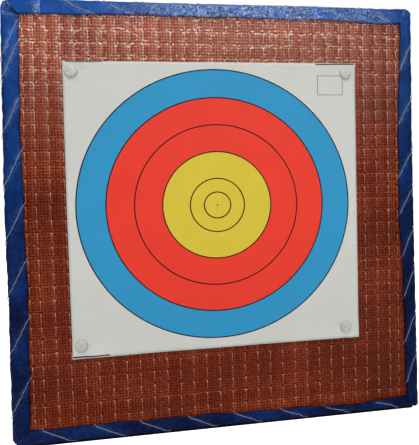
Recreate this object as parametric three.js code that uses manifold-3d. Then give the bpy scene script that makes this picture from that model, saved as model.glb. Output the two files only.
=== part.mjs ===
// Archery target boss: quilted plies between two woven covers, a wrap laced round the rim,
// and a paper target face held to the front by four push pins.
// Millimetres. +Z is up, the front faces -Y, and the origin is the middle of the bottom face.
import * as THREE from "three";
import { mergeVertices } from "three/addons/utils/BufferGeometryUtils.js";
import Module from "manifold-3d";

const wasm = await Module();
wasm.setup();

// Whole boss
const bossWidth = 604;
const bossHeight = 644;
const bossDepth = 100;
const restGap = 0.3; // left between pieces that lie on each other

// Rim wrap: a doubled strip folded over the edge of the plies, its two ends lapped on the top
const wrapWall = 3;
const bandWidth = 24; // how far it reaches over the front and the back
const cornerRadius = 14; // outer corners, seen from the front
const hemCornerRadius = 0.5; // corners of its inner edge
const edgeRadius = 9; // fold from the front to the side
const lapLength = 22;
const lapFromSide = 54.5; // visible end of the lap, from the left side
const lapStep = 0.2; // length over which an end thins
const edgeFacets = 3;
const cornerFacets = 4;

// Woven covers and the wadding behind them, drawn in along the rows of quilting
const coverThickness = 1;
const crownRise = 2; // a channel's middle over its rows of stitches
const crownFacets = 4;
const waddingThickness = 4.4; // behind a row of stitches
const quiltPitch = 19.4;
const edgeRowInset = 1.8; // of the outermost row of stitches, from the edge of the wrap
const leastChannel = 10; // between that row and the next

// Core
const plyCount = 4;

// Quilting threads: one on each face, up one row and down the next
const threadRadius = 0.6;
const threadSides = 5;

// Lacing: one cord along each side, in through the plies and out round the rim
const cordRadius = 0.6;
const cordSides = 5;
const holeSides = 4;
const laceClearance = 0.4; // round the cord in its holes
const laceInset = 27; // holes, from the outer side
const sunkDepth = 0.1; // of the cords under the boss, below its bottom face
const knotRadius = 2;
const knotLength = 3;
const knotTaper = 0.6;
const tailLength = 24; // of a cord's last end, tucked into the plies from behind
const leftAdvance = 43; // how far a cord moves along its side while it crosses the front band
const bottomAdvance = 35;
const rightAdvance = 35;
const topAdvance = 32;
const edgeAdvanceShare = 0.45; // of that again, while it turns over the front edge
const wallAdvanceShare = 0.4; // of what is left of a stitch's pitch, taken on the side wall
const gapSamples = 6; // points on each straight stretch, to measure a cord's gap to itself

// Target face, and the pins that hold it
const faceWidth = 429;
const faceHeight = 429;
const faceThickness = 0.6;
const faceShift = -5.75; // middle of the sheet, right of the boss's middle
const faceRise = 17.2; // middle of the sheet, above the boss's middle
const pinHeadRadius = 9;
const pinHeadHeight = 4;
const pinHeadRim = 1.2; // straight edge of the head
const pinShankRadius = 2;
const pinShankLength = 55;
const pinPointLength = 7;
const pinPointRadius = 0.3;
const pinSides = 12;
const pinHoleSides = 8;
const domeFacets = 4;
const pinClearance = 0.35;

const cutOverrun = 5; // of every cutter past the piece it cuts

// Depths, from the middle of the boss out to a face
const outerDepth = bossDepth / 2;
const coverDepth = outerDepth - wrapWall - restGap; // crowns of a cover
const rowDepth = coverDepth - crownRise; // rows of stitches in it
const waddingDepth = rowDepth - coverThickness - restGap;
const coreDepth = waddingDepth - waddingThickness - restGap;
const plyThickness = (2 * coreDepth - (plyCount - 1) * restGap) / plyCount;

// Outlines
const plyInset = wrapWall + restGap;
const coverInset = edgeRadius + restGap;
const coverHalfWidth = bossWidth / 2 - coverInset;
const coverHeight = bossHeight - 2 * coverInset;

// Each side of the boss, in the order in which its lacing runs: down the left side, along the
// bottom, up the right side and back along the top. Stitches and the tucked tail are places along
// the side, from its first corner.
const laceSides = [
  {
    name: "left",
    corner: [-bossWidth / 2, bossHeight],
    along: [0, -1],
    inward: [1, 0],
    length: bossHeight,
    stitchShares: [0.0435, 0.092, 0.211, 0.328, 0.447, 0.571, 0.703, 0.84],
    tailShare: 0.938,
    advance: leftAdvance,
  },
  {
    name: "bottom",
    corner: [-bossWidth / 2, 0],
    along: [1, 0],
    inward: [0, 1],
    length: bossWidth,
    stitchShares: [0.063, 0.18, 0.283, 0.396, 0.507, 0.623, 0.735, 0.868],
    tailShare: 0.944,
    advance: bottomAdvance,
    sunk: true,
    crossesRows: true,
  },
  {
    name: "right",
    corner: [bossWidth / 2, 0],
    along: [0, 1],
    inward: [-1, 0],
    length: bossHeight,
    stitchShares: [0.073, 0.175, 0.289, 0.39, 0.494, 0.585, 0.713, 0.843],
    tailShare: 0.935,
    advance: rightAdvance,
  },
  {
    name: "top",
    corner: [bossWidth / 2, bossHeight],
    along: [-1, 0],
    inward: [0, -1],
    length: bossWidth,
    stitchShares: [0.0656, 0.163, 0.259, 0.359, 0.4745, 0.607, 0.695, 0.786],
    tailShare: 0.882,
    advance: topAdvance,
    crossesRows: true,
  },
];

// The pins, by the corner of the sheet and their shares of its width and height in from there
const facePins = [
  { name: "top_left", side: -1, end: 1, sideShare: 0.034, endShare: 0.033 },
  { name: "top_right", side: 1, end: 1, sideShare: 0.035, endShare: 0.035 },
  { name: "bottom_left", side: -1, end: -1, sideShare: 0.034, endShare: 0.042 },
  { name: "bottom_right", side: 1, end: -1, sideShare: 0.049, endShare: 0.042 },
];

const finishes = {
  wovenTape: { color: 0x8a4632, roughness: 0.35, metalness: 0 },
  wadding: { color: 0xd9d2c4, roughness: 0.95, metalness: 0 },
  coreFoam: { color: 0x5c5a57, roughness: 0.9, metalness: 0 },
  wrapSheet: { color: 0x14469a, roughness: 0.42, metalness: 0 },
  quiltThread: { color: 0xe0c9a4, roughness: 0.7, metalness: 0 },
  laceCord: { color: 0xd8d6cc, roughness: 0.65, metalness: 0 },
  facePaper: { color: 0xcbccc6, roughness: 0.6, metalness: 0 },
  pinPlastic: { color: 0xdcdfd8, roughness: 0.4, metalness: 0 },
};

const boss = new THREE.Group();
boss.name = "archery_target_boss";

function addPiece(name, geometry, finish) {
  const piece = new THREE.Mesh(geometry, new THREE.MeshStandardMaterial(finishes[finish]));
  piece.name = name;
  boss.add(piece);
  return piece;
}

// Solids and cuts

function mergedPositions(geometry) {
  const bare = geometry.clone();
  bare.deleteAttribute("normal");
  bare.deleteAttribute("uv");
  return mergeVertices(bare);
}

function toSolid(geometry) {
  const merged = mergedPositions(geometry);
  return new wasm.Manifold(
    new wasm.Mesh({
      numProp: 3,
      vertProperties: merged.attributes.position.array,
      triVerts: new Uint32Array(merged.index.array),
    }),
  );
}

function toGeometry(solid) {
  const mesh = solid.getMesh();
  const geometry = new THREE.BufferGeometry();
  geometry.setAttribute("position", new THREE.BufferAttribute(mesh.vertProperties, mesh.numProp));
  geometry.setIndex(new THREE.BufferAttribute(mesh.triVerts, 1));
  geometry.computeVertexNormals();
  return geometry;
}

function cut(geometry, cutters) {
  const whole = cutters.reduce((solid, cutter) => solid.subtract(toSolid(cutter)), toSolid(geometry));
  return toGeometry(whole);
}

// A square or round hole's cutter, right through the boss from front to back
function holeCutter([x, z], clearRadius, sides) {
  const radius = clearRadius / Math.cos(Math.PI / sides);
  const cutter = new THREE.CylinderGeometry(radius, radius, bossDepth + 2 * cutOverrun, sides);
  return cutter.translate(x, 0, z);
}

// A closed skin over a row of rings with equally many points. Its ends are closed by the
// triangles that capTriangles lists.
function skinOver(rings, capTriangles) {
  const count = rings[0].length;
  const positions = rings.flat().flatMap((p) => [p.x, p.y, p.z]);
  const faces = [];
  for (let i = 0; i < rings.length - 1; i++) {
    for (let j = 0; j < count; j++) {
      const a = i * count + j;
      const b = i * count + ((j + 1) % count);
      faces.push([a, b, b + count], [a, b + count, a + count]);
    }
  }
  const last = (rings.length - 1) * count;
  for (const [a, b, c] of capTriangles) {
    faces.push([a, c, b], [last + a, last + b, last + c]);
  }
  const geometry = new THREE.BufferGeometry();
  geometry.setAttribute("position", new THREE.Float32BufferAttribute(positions, 3));
  geometry.setIndex(faces.flat());
  geometry.computeVertexNormals();
  return geometry;
}

function fanTriangles(count) {
  return Array.from({ length: count - 2 }, (_, k) => [0, k + 1, k + 2]);
}

// A tube along straight stretches, mitred where they meet. Each point may set its own radius.
function tubeAlong(points, radius, sides) {
  const heading = points.slice(1).map((p, i) => p.clone().sub(points[i]).normalize());
  const across = new THREE.Vector3(-heading[0].y, heading[0].x, 0);
  if (across.lengthSq() < Number.EPSILON) across.set(1, 0, 0);
  across.normalize();
  let spokes = Array.from({ length: sides }, (_, k) =>
    across.clone().applyAxisAngle(heading[0], (2 * Math.PI * k) / sides),
  );
  const rings = points.map((point, i) => {
    const before = heading[Math.max(i - 1, 0)];
    const after = heading[Math.min(i, heading.length - 1)];
    const mitre = before.clone().add(after).normalize();
    const reach = point.radius ?? radius;
    const ring = spokes.map((spoke) => {
      const slide = -spoke.dot(mitre) / before.dot(mitre);
      return spoke.clone().addScaledVector(before, slide).multiplyScalar(reach).add(point);
    });
    const turn = new THREE.Quaternion().setFromUnitVectors(before, after);
    spokes = spokes.map((spoke) => spoke.clone().applyQuaternion(turn));
    return ring;
  });
  return skinOver(rings, fanTriangles(sides));
}

// The least gap between two parts of a cord that don't follow each other, measured on points
function printSelfGap(name, points, radius, nearLength) {
  const samples = [];
  let travelled = 0;
  for (let i = 0; i < points.length - 1; i++) {
    const stretch = points[i].distanceTo(points[i + 1]);
    for (let k = 0; k < gapSamples; k++) {
      const place = points[i].clone().lerp(points[i + 1], k / gapSamples);
      samples.push({ place, at: travelled + (stretch * k) / gapSamples });
    }
    travelled += stretch;
  }
  let least = Infinity;
  for (const a of samples) {
    for (const b of samples) {
      if (b.at - a.at < nearLength) continue;
      least = Math.min(least, a.place.distanceTo(b.place));
    }
  }
  const gap = (least - 2 * radius).toFixed(1);
  console.log(`${name}: ${(travelled / 1000).toFixed(2)} m long, least gap to itself ${gap} mm`);
}

// Rows of quilting, from left to right, with the ends of the cover outside them

function quiltRowPlaces() {
  const outermost = bossWidth / 2 - bandWidth - edgeRowInset;
  const places = [];
  for (let x = quiltPitch / 2; x <= outermost - leastChannel; x += quiltPitch) {
    places.push(x);
  }
  places.push(outermost);
  return [...places.map((x) => -x).reverse(), ...places];
}

const rowPlaces = quiltRowPlaces();
const laceHoleRadius = cordRadius + laceClearance;
const pinHoleRadius = pinShankRadius + pinClearance;

// The depth of a channelled surface between rows, as points across the boss
function channelLine(depthAtRow) {
  const stops = [-coverHalfWidth, ...rowPlaces, coverHalfWidth];
  const line = [[stops[0], depthAtRow]];
  for (let i = 0; i < stops.length - 1; i++) {
    for (let k = 1; k <= crownFacets; k++) {
      const share = k / crownFacets;
      const x = THREE.MathUtils.lerp(stops[i], stops[i + 1], share);
      line.push([x, depthAtRow + crownRise * Math.sin(Math.PI * share)]);
    }
  }
  return line;
}

// A layer between two lines across the boss, run up its whole height. facing is -1 at the front.
function channelledLayer(outerLine, innerLine, facing) {
  const outline = [...outerLine, ...innerLine.reverse()];
  const shape = new THREE.Shape(outline.map(([x, depth]) => new THREE.Vector2(x, facing * depth)));
  const layer = new THREE.ExtrudeGeometry(shape, { depth: coverHeight, bevelEnabled: false });
  return layer.translate(0, 0, coverInset);
}

// Lacing holes and routes

function sidePoint(side, s, inset, y) {
  const x = side.corner[0] + side.along[0] * s + side.inward[0] * inset;
  const z = side.corner[1] + side.along[1] * s + side.inward[1] * inset;
  return new THREE.Vector3(x, y, z);
}

// A hole or a pin goes in beside a row of stitches, never through its thread
function besideRow(x, holeRadius) {
  const clear = holeRadius + threadRadius + 2 * restGap;
  const row = rowPlaces.find((place) => Math.abs(x - place) < clear);
  if (row === undefined) return x;
  return row + (x < row ? -clear : clear);
}

function settleStitch(side, s) {
  if (!side.crossesRows) return s;
  const start = side.corner[0];
  return (besideRow(start + side.along[0] * s, laceHoleRadius) - start) * side.along[0];
}

for (const side of laceSides) {
  side.holes = side.stitchShares.map((share) => settleStitch(side, share * side.length));
  side.tailHole = settleStitch(side, side.tailShare * side.length);
}

function holePlaces(list) {
  return list.map(([side, s]) => {
    const p = sidePoint(side, s, laceInset, 0);
    return [p.x, p.z];
  });
}

const stitchHoles = holePlaces(laceSides.flatMap((side) => side.holes.map((s) => [side, s])));
const tailHoles = holePlaces(laceSides.map((side) => [side, side.tailHole]));

function laceCutters(places) {
  return places.map((place) => holeCutter(place, laceHoleRadius, holeSides));
}

// How far along its side a stitch is where it reaches the front edge, the wall and the back edge
function rimPlaces(side, s, next) {
  const front = s + side.advance;
  const wall = front + side.advance * edgeAdvanceShare;
  return { front, wall, back: wall + (next - wall) * wallAdvanceShare };
}

// Round the rim from the front band to the back band, moving along the side as it goes
function rimPoints(side, { front, wall, back }) {
  const proud = cordRadius + restGap;
  const wallInset = side.sunk ? cordRadius + sunkDepth : -proud;
  const points = [];
  for (const facing of [-1, 1]) {
    for (let k = 0; k <= edgeFacets; k++) {
      const share = facing < 0 ? k / edgeFacets : 1 - k / edgeFacets;
      const angle = (Math.PI / 2) * share;
      const reach = THREE.MathUtils.lerp(edgeRadius + proud, edgeRadius - wallInset, share);
      const s = facing < 0 ? THREE.MathUtils.lerp(front, wall, share) : back;
      const y = facing * (outerDepth - edgeRadius + reach * Math.cos(angle));
      points.push(sidePoint(side, s, edgeRadius - reach * Math.sin(angle), y));
    }
  }
  return points;
}

// One whole stitch: out of its front hole, over the rim and back to the next hole behind
function stitchPoints(side, s, next) {
  const overBand = outerDepth + cordRadius + restGap;
  const overCover = coverDepth + cordRadius + restGap;
  const crossing = side.advance / (laceInset - edgeRadius);
  const frontEdge = s + crossing * (laceInset - bandWidth);
  const rim = rimPlaces(side, s, next);
  const backEdge = next - ((next - rim.back) * (laceInset - bandWidth)) / (laceInset - edgeRadius);
  return [
    sidePoint(side, s, laceInset, -overCover),
    sidePoint(side, frontEdge, bandWidth, -overBand),
    ...rimPoints(side, rim),
    sidePoint(side, backEdge, bandWidth, overBand),
    sidePoint(side, next, laceInset, overCover),
  ];
}

// The knot on a cord's first end, which sits on the back cover
function knotPoints(side, s) {
  const seat = coverDepth + restGap;
  const steps = [
    [seat + knotLength, cordRadius],
    [seat + knotLength - knotTaper, knotRadius],
    [seat + knotTaper, knotRadius],
    [seat, cordRadius],
  ];
  return steps.map(([y, radius]) => Object.assign(sidePoint(side, s, laceInset, y), { radius }));
}

function laceRoute(side) {
  const ends = [...side.holes.slice(1), side.tailHole];
  const stitches = side.holes.flatMap((s, i) => stitchPoints(side, s, ends[i]));
  const tail = sidePoint(side, side.tailHole, laceInset, coverDepth - tailLength);
  return [...knotPoints(side, side.holes[0]), ...stitches, tail];
}

// Where a cord runs under the boss, the wrap is pressed in round it
function pressedGrooves(side) {
  return side.holes.map((s, i) => {
    const next = side.holes[i + 1] ?? side.tailHole;
    const clearRadius = (cordRadius + restGap) / Math.cos(Math.PI / cordSides);
    return tubeAlong(rimPoints(side, rimPlaces(side, s, next)), clearRadius, cordSides);
  });
}

// Target face and pins

const faceMiddle = new THREE.Vector2(faceShift, bossHeight / 2 + faceRise);

const pinPlaces = facePins.map((pin) => [
  besideRow(faceMiddle.x + pin.side * faceWidth * (1 / 2 - pin.sideShare), pinHoleRadius),
  faceMiddle.y + pin.end * faceHeight * (1 / 2 - pin.endShare),
]);

function pinCutters() {
  return pinPlaces.map((place) => holeCutter(place, pinHoleRadius, pinHoleSides));
}

// A pin pointing back along +Y, with the underside of its head at y = 0
function pinGeometry() {
  const profile = [
    [0, pinShankLength],
    [pinPointRadius, pinShankLength],
    [pinShankRadius, pinShankLength - pinPointLength],
    [pinShankRadius, 0],
    [pinHeadRadius, 0],
  ];
  const dome = pinHeadHeight - pinHeadRim;
  for (let k = 0; k <= domeFacets; k++) {
    const angle = (Math.PI / 2) * (k / domeFacets);
    profile.push([pinHeadRadius * Math.cos(angle), -pinHeadRim - dome * Math.sin(angle)]);
  }
  profile[profile.length - 1][0] = 0;
  const points = profile.reverse().map(([r, y]) => new THREE.Vector2(r, y));
  return new THREE.LatheGeometry(points, pinSides);
}

// Rim wrap: the section is a C that opens inwards, given at a depth into the wall by share

function wrapSection(share) {
  const radius = edgeRadius - share * wrapWall;
  const centreDepth = outerDepth - edgeRadius;
  const section = [[bandWidth, -centreDepth - radius]];
  for (const facing of [-1, 1]) {
    for (let k = 0; k <= edgeFacets; k++) {
      const step = facing < 0 ? k : edgeFacets - k;
      const angle = (Math.PI / 2) * (step / edgeFacets);
      const depth = centreDepth + radius * Math.cos(angle);
      section.push([edgeRadius - radius * Math.sin(angle), facing * depth]);
    }
  }
  section.push([bandWidth, centreDepth + radius]);
  return section;
}

// A place on the boss's outline, drawn in by inset, from the front: at x along the top, or at an
// angle round the corner on the sides that right and up name
function outlinePoint(place, inset) {
  const middle = bossHeight / 2;
  if (place.x !== undefined) return [place.x, bossHeight - inset];
  const radius = Math.max(cornerRadius - inset, hemCornerRadius);
  const x = place.right * (bossWidth / 2 - inset - radius) + radius * Math.cos(place.angle);
  const z = middle + place.up * (middle - inset - radius) + radius * Math.sin(place.angle);
  return [x, z];
}

function wrapRing(place) {
  const [outer, inner] = place.shares.map(wrapSection);
  return [...outer, ...inner.reverse()].map(([inset, y]) => {
    const [x, z] = outlinePoint(place, inset);
    return new THREE.Vector3(x, y, z);
  });
}

function wrapGeometry() {
  const whole = [0, 1];
  const slack = restGap / wrapWall / 2;
  const overShares = [0, 1 / 2 - slack];
  const underShares = [1 / 2 + slack, 1];
  const lapEnd = lapFromSide - bossWidth / 2;
  const lapStart = lapEnd - lapLength;
  const places = [
    { x: lapStart, shares: underShares },
    { x: lapEnd + restGap, shares: underShares },
    { x: lapEnd + restGap + lapStep, shares: whole },
  ];
  const corners = [
    { right: 1, up: 1, first: Math.PI / 2 },
    { right: 1, up: -1, first: 0 },
    { right: -1, up: -1, first: -Math.PI / 2 },
    { right: -1, up: 1, first: -Math.PI },
  ];
  for (const { right, up, first } of corners) {
    for (let k = 0; k <= cornerFacets; k++) {
      const angle = first - (Math.PI / 2) * (k / cornerFacets);
      places.push({ right, up, angle, shares: whole });
    }
  }
  places.push(
    { x: lapStart - restGap - lapStep, shares: whole },
    { x: lapStart - restGap, shares: overShares },
    { x: lapEnd, shares: overShares },
  );
  const rings = places.reverse().map(wrapRing);
  const count = rings[0].length;
  const caps = [];
  for (let k = 0; k < count / 2 - 1; k++) {
    const across = count - 1 - k;
    caps.push([k, k + 1, across - 1], [k, across - 1, across]);
  }
  return skinOver(rings, caps);
}

// A flat core ply with the wrap's inner corners
function plyGeometry() {
  const halfWidth = bossWidth / 2 - plyInset;
  const top = bossHeight - plyInset;
  const radius = cornerRadius - wrapWall;
  const shape = new THREE.Shape();
  shape.absarc(halfWidth - radius, plyInset + radius, radius, -Math.PI / 2, 0);
  shape.absarc(halfWidth - radius, top - radius, radius, 0, Math.PI / 2);
  shape.absarc(radius - halfWidth, top - radius, radius, Math.PI / 2, Math.PI);
  shape.absarc(radius - halfWidth, plyInset + radius, radius, Math.PI, 1.5 * Math.PI);
  const options = { depth: plyThickness, bevelEnabled: false, curveSegments: cornerFacets };
  return new THREE.ExtrudeGeometry(shape, options).rotateX(Math.PI / 2);
}

// A quilting thread, up one row and down the next, turning just past the cover's ends
function quiltRoute(facing) {
  const y = facing * (rowDepth + threadRadius + restGap);
  const low = coverInset - threadRadius - restGap;
  const high = bossHeight - low;
  return rowPlaces.flatMap((x, i) => {
    const ends = i % 2 ? [high, low] : [low, high];
    return ends.map((z) => new THREE.Vector3(x, y, z));
  });
}

// Assembly

for (const { label, facing } of [
  { label: "front", facing: -1 },
  { label: "back", facing: 1 },
]) {
  const front = facing < 0;
  const holes = laceCutters(front ? stitchHoles : [...stitchHoles, ...tailHoles]);
  const cutters = front ? [...holes, ...pinCutters()] : holes;
  const inner = rowDepth - coverThickness;
  const flat = [
    [-coverHalfWidth, coreDepth + restGap],
    [coverHalfWidth, coreDepth + restGap],
  ];
  const cover = channelledLayer(channelLine(rowDepth), channelLine(inner), facing);
  const wadding = channelledLayer(channelLine(waddingDepth), flat, facing);
  addPiece(`${label}_cover`, cut(cover, cutters), "wovenTape");
  addPiece(`${label}_wadding`, cut(wadding, cutters), "wadding");
  const route = quiltRoute(facing);
  const thread = `${label}_quilting_thread`;
  addPiece(thread, tubeAlong(route, threadRadius, threadSides), "quiltThread");
  printSelfGap(thread, route, threadRadius, 2 * quiltPitch);
}

for (let k = 0; k < plyCount; k++) {
  const frontY = -coreDepth + k * (plyThickness + restGap);
  const backY = frontY + plyThickness;
  const pinTip = pinShankLength - coverDepth - faceThickness - 2 * restGap;
  const cutters = laceCutters(stitchHoles);
  if (frontY < pinTip) cutters.push(...pinCutters());
  if (backY > coverDepth - tailLength) cutters.push(...laceCutters(tailHoles));
  const ply = plyGeometry().translate(0, backY, 0);
  addPiece(`core_ply_${k + 1}`, cut(ply, cutters), "coreFoam");
}

const grooves = laceSides.filter((side) => side.sunk).flatMap(pressedGrooves);
addPiece("rim_wrap", cut(wrapGeometry(), grooves), "wrapSheet");

for (const side of laceSides) {
  const route = laceRoute(side);
  const name = `${side.name}_lacing_cord`;
  addPiece(name, tubeAlong(route, cordRadius, cordSides), "laceCord");
  printSelfGap(name, route, cordRadius, bandWidth);
}

const faceBack = -coverDepth - restGap;
const sheet = new THREE.BoxGeometry(faceWidth, faceThickness, faceHeight);
sheet.translate(faceMiddle.x, faceBack - faceThickness / 2, faceMiddle.y);
addPiece("target_face", cut(sheet, pinCutters()), "facePaper");

facePins.forEach((pin, i) => {
  const [x, z] = pinPlaces[i];
  const piece = addPiece(`face_pin_${pin.name}`, pinGeometry(), "pinPlastic");
  piece.position.set(x, faceBack - faceThickness - restGap, z);
});

export default boss;
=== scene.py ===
import math

import bmesh
import bpy
import numpy as np
from mathutils import Euler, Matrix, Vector


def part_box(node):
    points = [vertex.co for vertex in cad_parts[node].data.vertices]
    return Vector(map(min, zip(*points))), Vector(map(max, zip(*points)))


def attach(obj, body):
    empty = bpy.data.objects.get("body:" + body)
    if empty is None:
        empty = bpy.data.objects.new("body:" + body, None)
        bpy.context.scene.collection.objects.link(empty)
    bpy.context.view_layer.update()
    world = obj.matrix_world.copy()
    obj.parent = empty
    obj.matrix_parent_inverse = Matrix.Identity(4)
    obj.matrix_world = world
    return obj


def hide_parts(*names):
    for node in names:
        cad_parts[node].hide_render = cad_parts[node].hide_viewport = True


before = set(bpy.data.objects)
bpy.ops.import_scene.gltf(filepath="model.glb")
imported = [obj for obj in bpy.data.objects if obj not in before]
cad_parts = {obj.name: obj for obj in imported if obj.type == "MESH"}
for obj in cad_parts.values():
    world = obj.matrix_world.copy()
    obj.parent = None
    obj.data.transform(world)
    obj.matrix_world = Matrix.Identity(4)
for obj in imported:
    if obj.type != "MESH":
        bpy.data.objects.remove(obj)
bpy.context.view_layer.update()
rimLow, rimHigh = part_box("rim_wrap")
coverLow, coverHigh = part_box("front_cover")
faceLow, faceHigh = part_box("target_face")
bossWidth = rimHigh.x - rimLow.x
bossHeight = rimHigh.z - rimLow.z
outerDepth = rimHigh.y
plyFront = -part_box("core_ply_1")[0].y
crownDepth = -coverLow.y


# Small helpers for trees, numbers and meshes

class Value:
    # a node's output that can stand in a plain sum, where each sign adds a Math node
    def __init__(self, socket):
        self.socket = socket

    def __add__(self, other):
        return calc("ADD", self, other)

    def __sub__(self, other):
        return calc("SUBTRACT", self, other)

    def __rsub__(self, other):
        return calc("SUBTRACT", other, self)

    def __mul__(self, other):
        return calc("MULTIPLY", self, other)

    def __truediv__(self, other):
        return calc("DIVIDE", self, other)

    def __pow__(self, other):
        return calc("POWER", self, other)

    def __abs__(self):
        return calc("ABSOLUTE", self)


def treeOf(*values):
    return next(v.socket.id_data for v in values if isinstance(v, Value))


def plug(socket, value):
    if isinstance(value, Value):
        socket.id_data.links.new(value.socket, socket)
    else:
        socket.default_value = value


def addNode(tree, kind, inputs=None, **settings):
    node = tree.nodes.new(kind)
    for key, value in settings.items():
        setattr(node, key, value)
    for socket, value in (inputs or {}).items():
        plug(node.inputs[socket], value)
    return node


def put(tree, kind, inputs=None, **settings):
    # adds a node and gives its first output that is in use
    return Value(next(o for o in addNode(tree, kind, inputs, **settings).outputs if o.enabled))


def calc(operation, *values):
    return put(treeOf(*values), "ShaderNodeMath", dict(enumerate(values)), operation=operation)


def combine(x=0.0, y=0.0, z=0.0):
    return put(treeOf(x, y, z), "ShaderNodeCombineXYZ", {"X": x, "Y": y, "Z": z})


def separate(spot):
    return [Value(s) for s in addNode(treeOf(spot), "ShaderNodeSeparateXYZ", {0: spot}).outputs]


def stored(geometry, name, value):
    return put(treeOf(geometry), "GeometryNodeStoreNamedAttribute",
               {"Geometry": geometry, "Name": name, "Value": value}, data_type="FLOAT", domain="POINT")


def newTree(name, counts, measures):
    tree = bpy.data.node_groups.new(name, "GeometryNodeTree")
    kinds = {"Geometry": "Geometry", **{label: "Int" for label in counts},
             **{label: "Float" for label in measures}, "Material": "Material"}
    for label, kind in kinds.items():
        tree.interface.new_socket(label, in_out="INPUT", socket_type="NodeSocket" + kind)
    tree.interface.new_socket("Geometry", in_out="OUTPUT", socket_type="NodeSocketGeometry")
    return tree, {s.name: Value(s) for s in addNode(tree, "NodeGroupInput").outputs}


def endTree(tree, geometry, material):
    smooth = put(tree, "GeometryNodeSetShadeSmooth", {"Geometry": geometry})
    real = put(tree, "GeometryNodeRealizeInstances", {"Geometry": smooth})
    done = put(tree, "GeometryNodeSetMaterial", {"Geometry": real, "Material": material})
    addNode(tree, "NodeGroupOutput", {"Geometry": done})
    return tree


def newPiece(name, data, *materials):
    piece = bpy.data.objects.new(name, data)
    bpy.context.scene.collection.objects.link(piece)
    for material in materials:
        data.materials.append(material)
    return piece


def growPiece(name, tree, values, base=None):
    # runs a tree on the base mesh and keeps the result as a plain mesh
    source = newPiece(name + "_source", base or bpy.data.meshes.new(name + "_base"))
    modifier = source.modifiers.new("grow", "NODES")
    modifier.node_group = tree
    for item in tree.interface.items_tree:
        if item.in_out == "INPUT" and item.name in values:
            modifier[item.identifier] = values[item.name]
    depsgraph = bpy.context.evaluated_depsgraph_get()
    mesh = bpy.data.meshes.new_from_object(source.evaluated_get(depsgraph), depsgraph=depsgraph)
    source.modifiers.remove(modifier)
    bpy.data.objects.remove(source)
    mesh.name = name
    return newPiece(name, mesh)


def declare(piece, body, node=None):
    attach(piece, body)
    if node:
        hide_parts(node)


def pointsOf(mesh):
    flat = np.zeros(len(mesh.vertices) * 3)
    mesh.vertices.foreach_get("co", flat)
    return flat.reshape(-1, 3)


def movePoints(mesh, points):
    mesh.vertices.foreach_set("co", np.ascontiguousarray(points, np.float32).ravel())
    mesh.update()


def meshFrom(name, points, faces, smooth=True):
    mesh = bpy.data.meshes.new(name)
    mesh.from_pydata(np.asarray(points, float).tolist(), [], [list(face) for face in faces])
    mesh.polygons.foreach_set("use_smooth", [smooth] * len(mesh.polygons))
    return mesh


def faceOut(mesh):
    work = bmesh.new()
    work.from_mesh(mesh)
    bmesh.ops.remove_doubles(work, verts=work.verts, dist=1e-7)
    bmesh.ops.recalc_face_normals(work, faces=work.faces)
    work.to_mesh(mesh)
    work.free()
    return mesh


def addValues(mesh, name, values):
    mesh.attributes.new(name, "FLOAT", "POINT").data.foreach_set("value", np.asarray(values, np.float32))


def gridFaces(rows, columns, closeRows=False, closeColumns=False):
    row = np.arange(rows if closeRows else rows - 1)[:, None]
    column = np.arange(columns if closeColumns else columns - 1)[None, :]
    nextRow, nextColumn = (row + 1) % rows, (column + 1) % columns
    corners = [row * columns + column, row * columns + nextColumn,
               nextRow * columns + nextColumn, nextRow * columns + column]
    return np.stack([np.broadcast_to(c, (row.size, column.size)).ravel() for c in corners], 1)


def softNoise(a, b, size, seed, waves=9):
    # smooth bumps about `size` across, from a few seeded waves
    dice = np.random.default_rng(seed)
    total = np.zeros(np.broadcast(a, b).shape)
    for _ in range(waves):
        angle, phase = dice.uniform(0, 2 * np.pi, 2)
        length = size * dice.uniform(0.7, 1.7)
        total = total + np.sin((a * np.cos(angle) + b * np.sin(angle)) * 2 * np.pi / length + phase)
    return total / math.sqrt(waves)


def ease(value):
    value = np.clip(value, 0, 1)
    return value * value * (3 - 2 * value)


def bell(distance, spread):
    return np.exp(-(distance / spread) ** 2 / 2)


# Camera, set from the ring lines and the corners of the boss in the picture

photoView = {
    "imageWidth": 419,
    "imageHeight": 445,
    "focalPixels": 430,
    "middlePixel": (286, 176),     # where the lens axis meets the picture
    "place": (0.0094, -0.6989, 0.4078),
    "turn": (87.788, 1.228, -7.788),
}


def makeCamera():
    lens = bpy.data.cameras.new("photo_camera")
    camera = newPiece("photo_camera", lens)
    width, height = photoView["imageWidth"], photoView["imageHeight"]
    middleX, middleY = photoView["middlePixel"]
    longSide = max(width, height)
    lens.lens = photoView["focalPixels"] / longSide * lens.sensor_width
    lens.shift_x = (width / 2 - middleX) / longSide
    lens.shift_y = (middleY - height / 2) / longSide
    lens.clip_start, lens.clip_end = 0.01, 50
    camera.location = photoView["place"]
    camera.rotation_euler = Euler([math.radians(a) for a in photoView["turn"]])
    bpy.context.scene.camera = camera


makeCamera()
print("camera made")


# Materials

def newMaterial(name, **sockets):
    # the material, its shader's inputs and the object's own coordinates
    material = bpy.data.materials.new(name)
    material.use_nodes = True
    inputs = material.node_tree.nodes["Principled BSDF"].inputs
    for label, value in sockets.items():
        inputs[label.replace("_", " ")].default_value = value
    return material, inputs, Value(addNode(material.node_tree, "ShaderNodeTexCoord").outputs["Object"])


def attributes(spot, *names):
    return [Value(addNode(treeOf(spot), "ShaderNodeAttribute", attribute_name=name).outputs["Fac"])
            for name in names]


def noise(spot, scale, detail=3.0, roughness=0.55):
    return put(treeOf(spot), "ShaderNodeTexNoise",
               {"Vector": spot, "Scale": scale, "Detail": detail, "Roughness": roughness})


def remap(value, low, high, first=0.0, last=1.0, **settings):
    return put(treeOf(value), "ShaderNodeMapRange", {
        "Value": value, "From Min": low, "From Max": high, "To Min": first, "To Max": last}, **settings)


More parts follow.
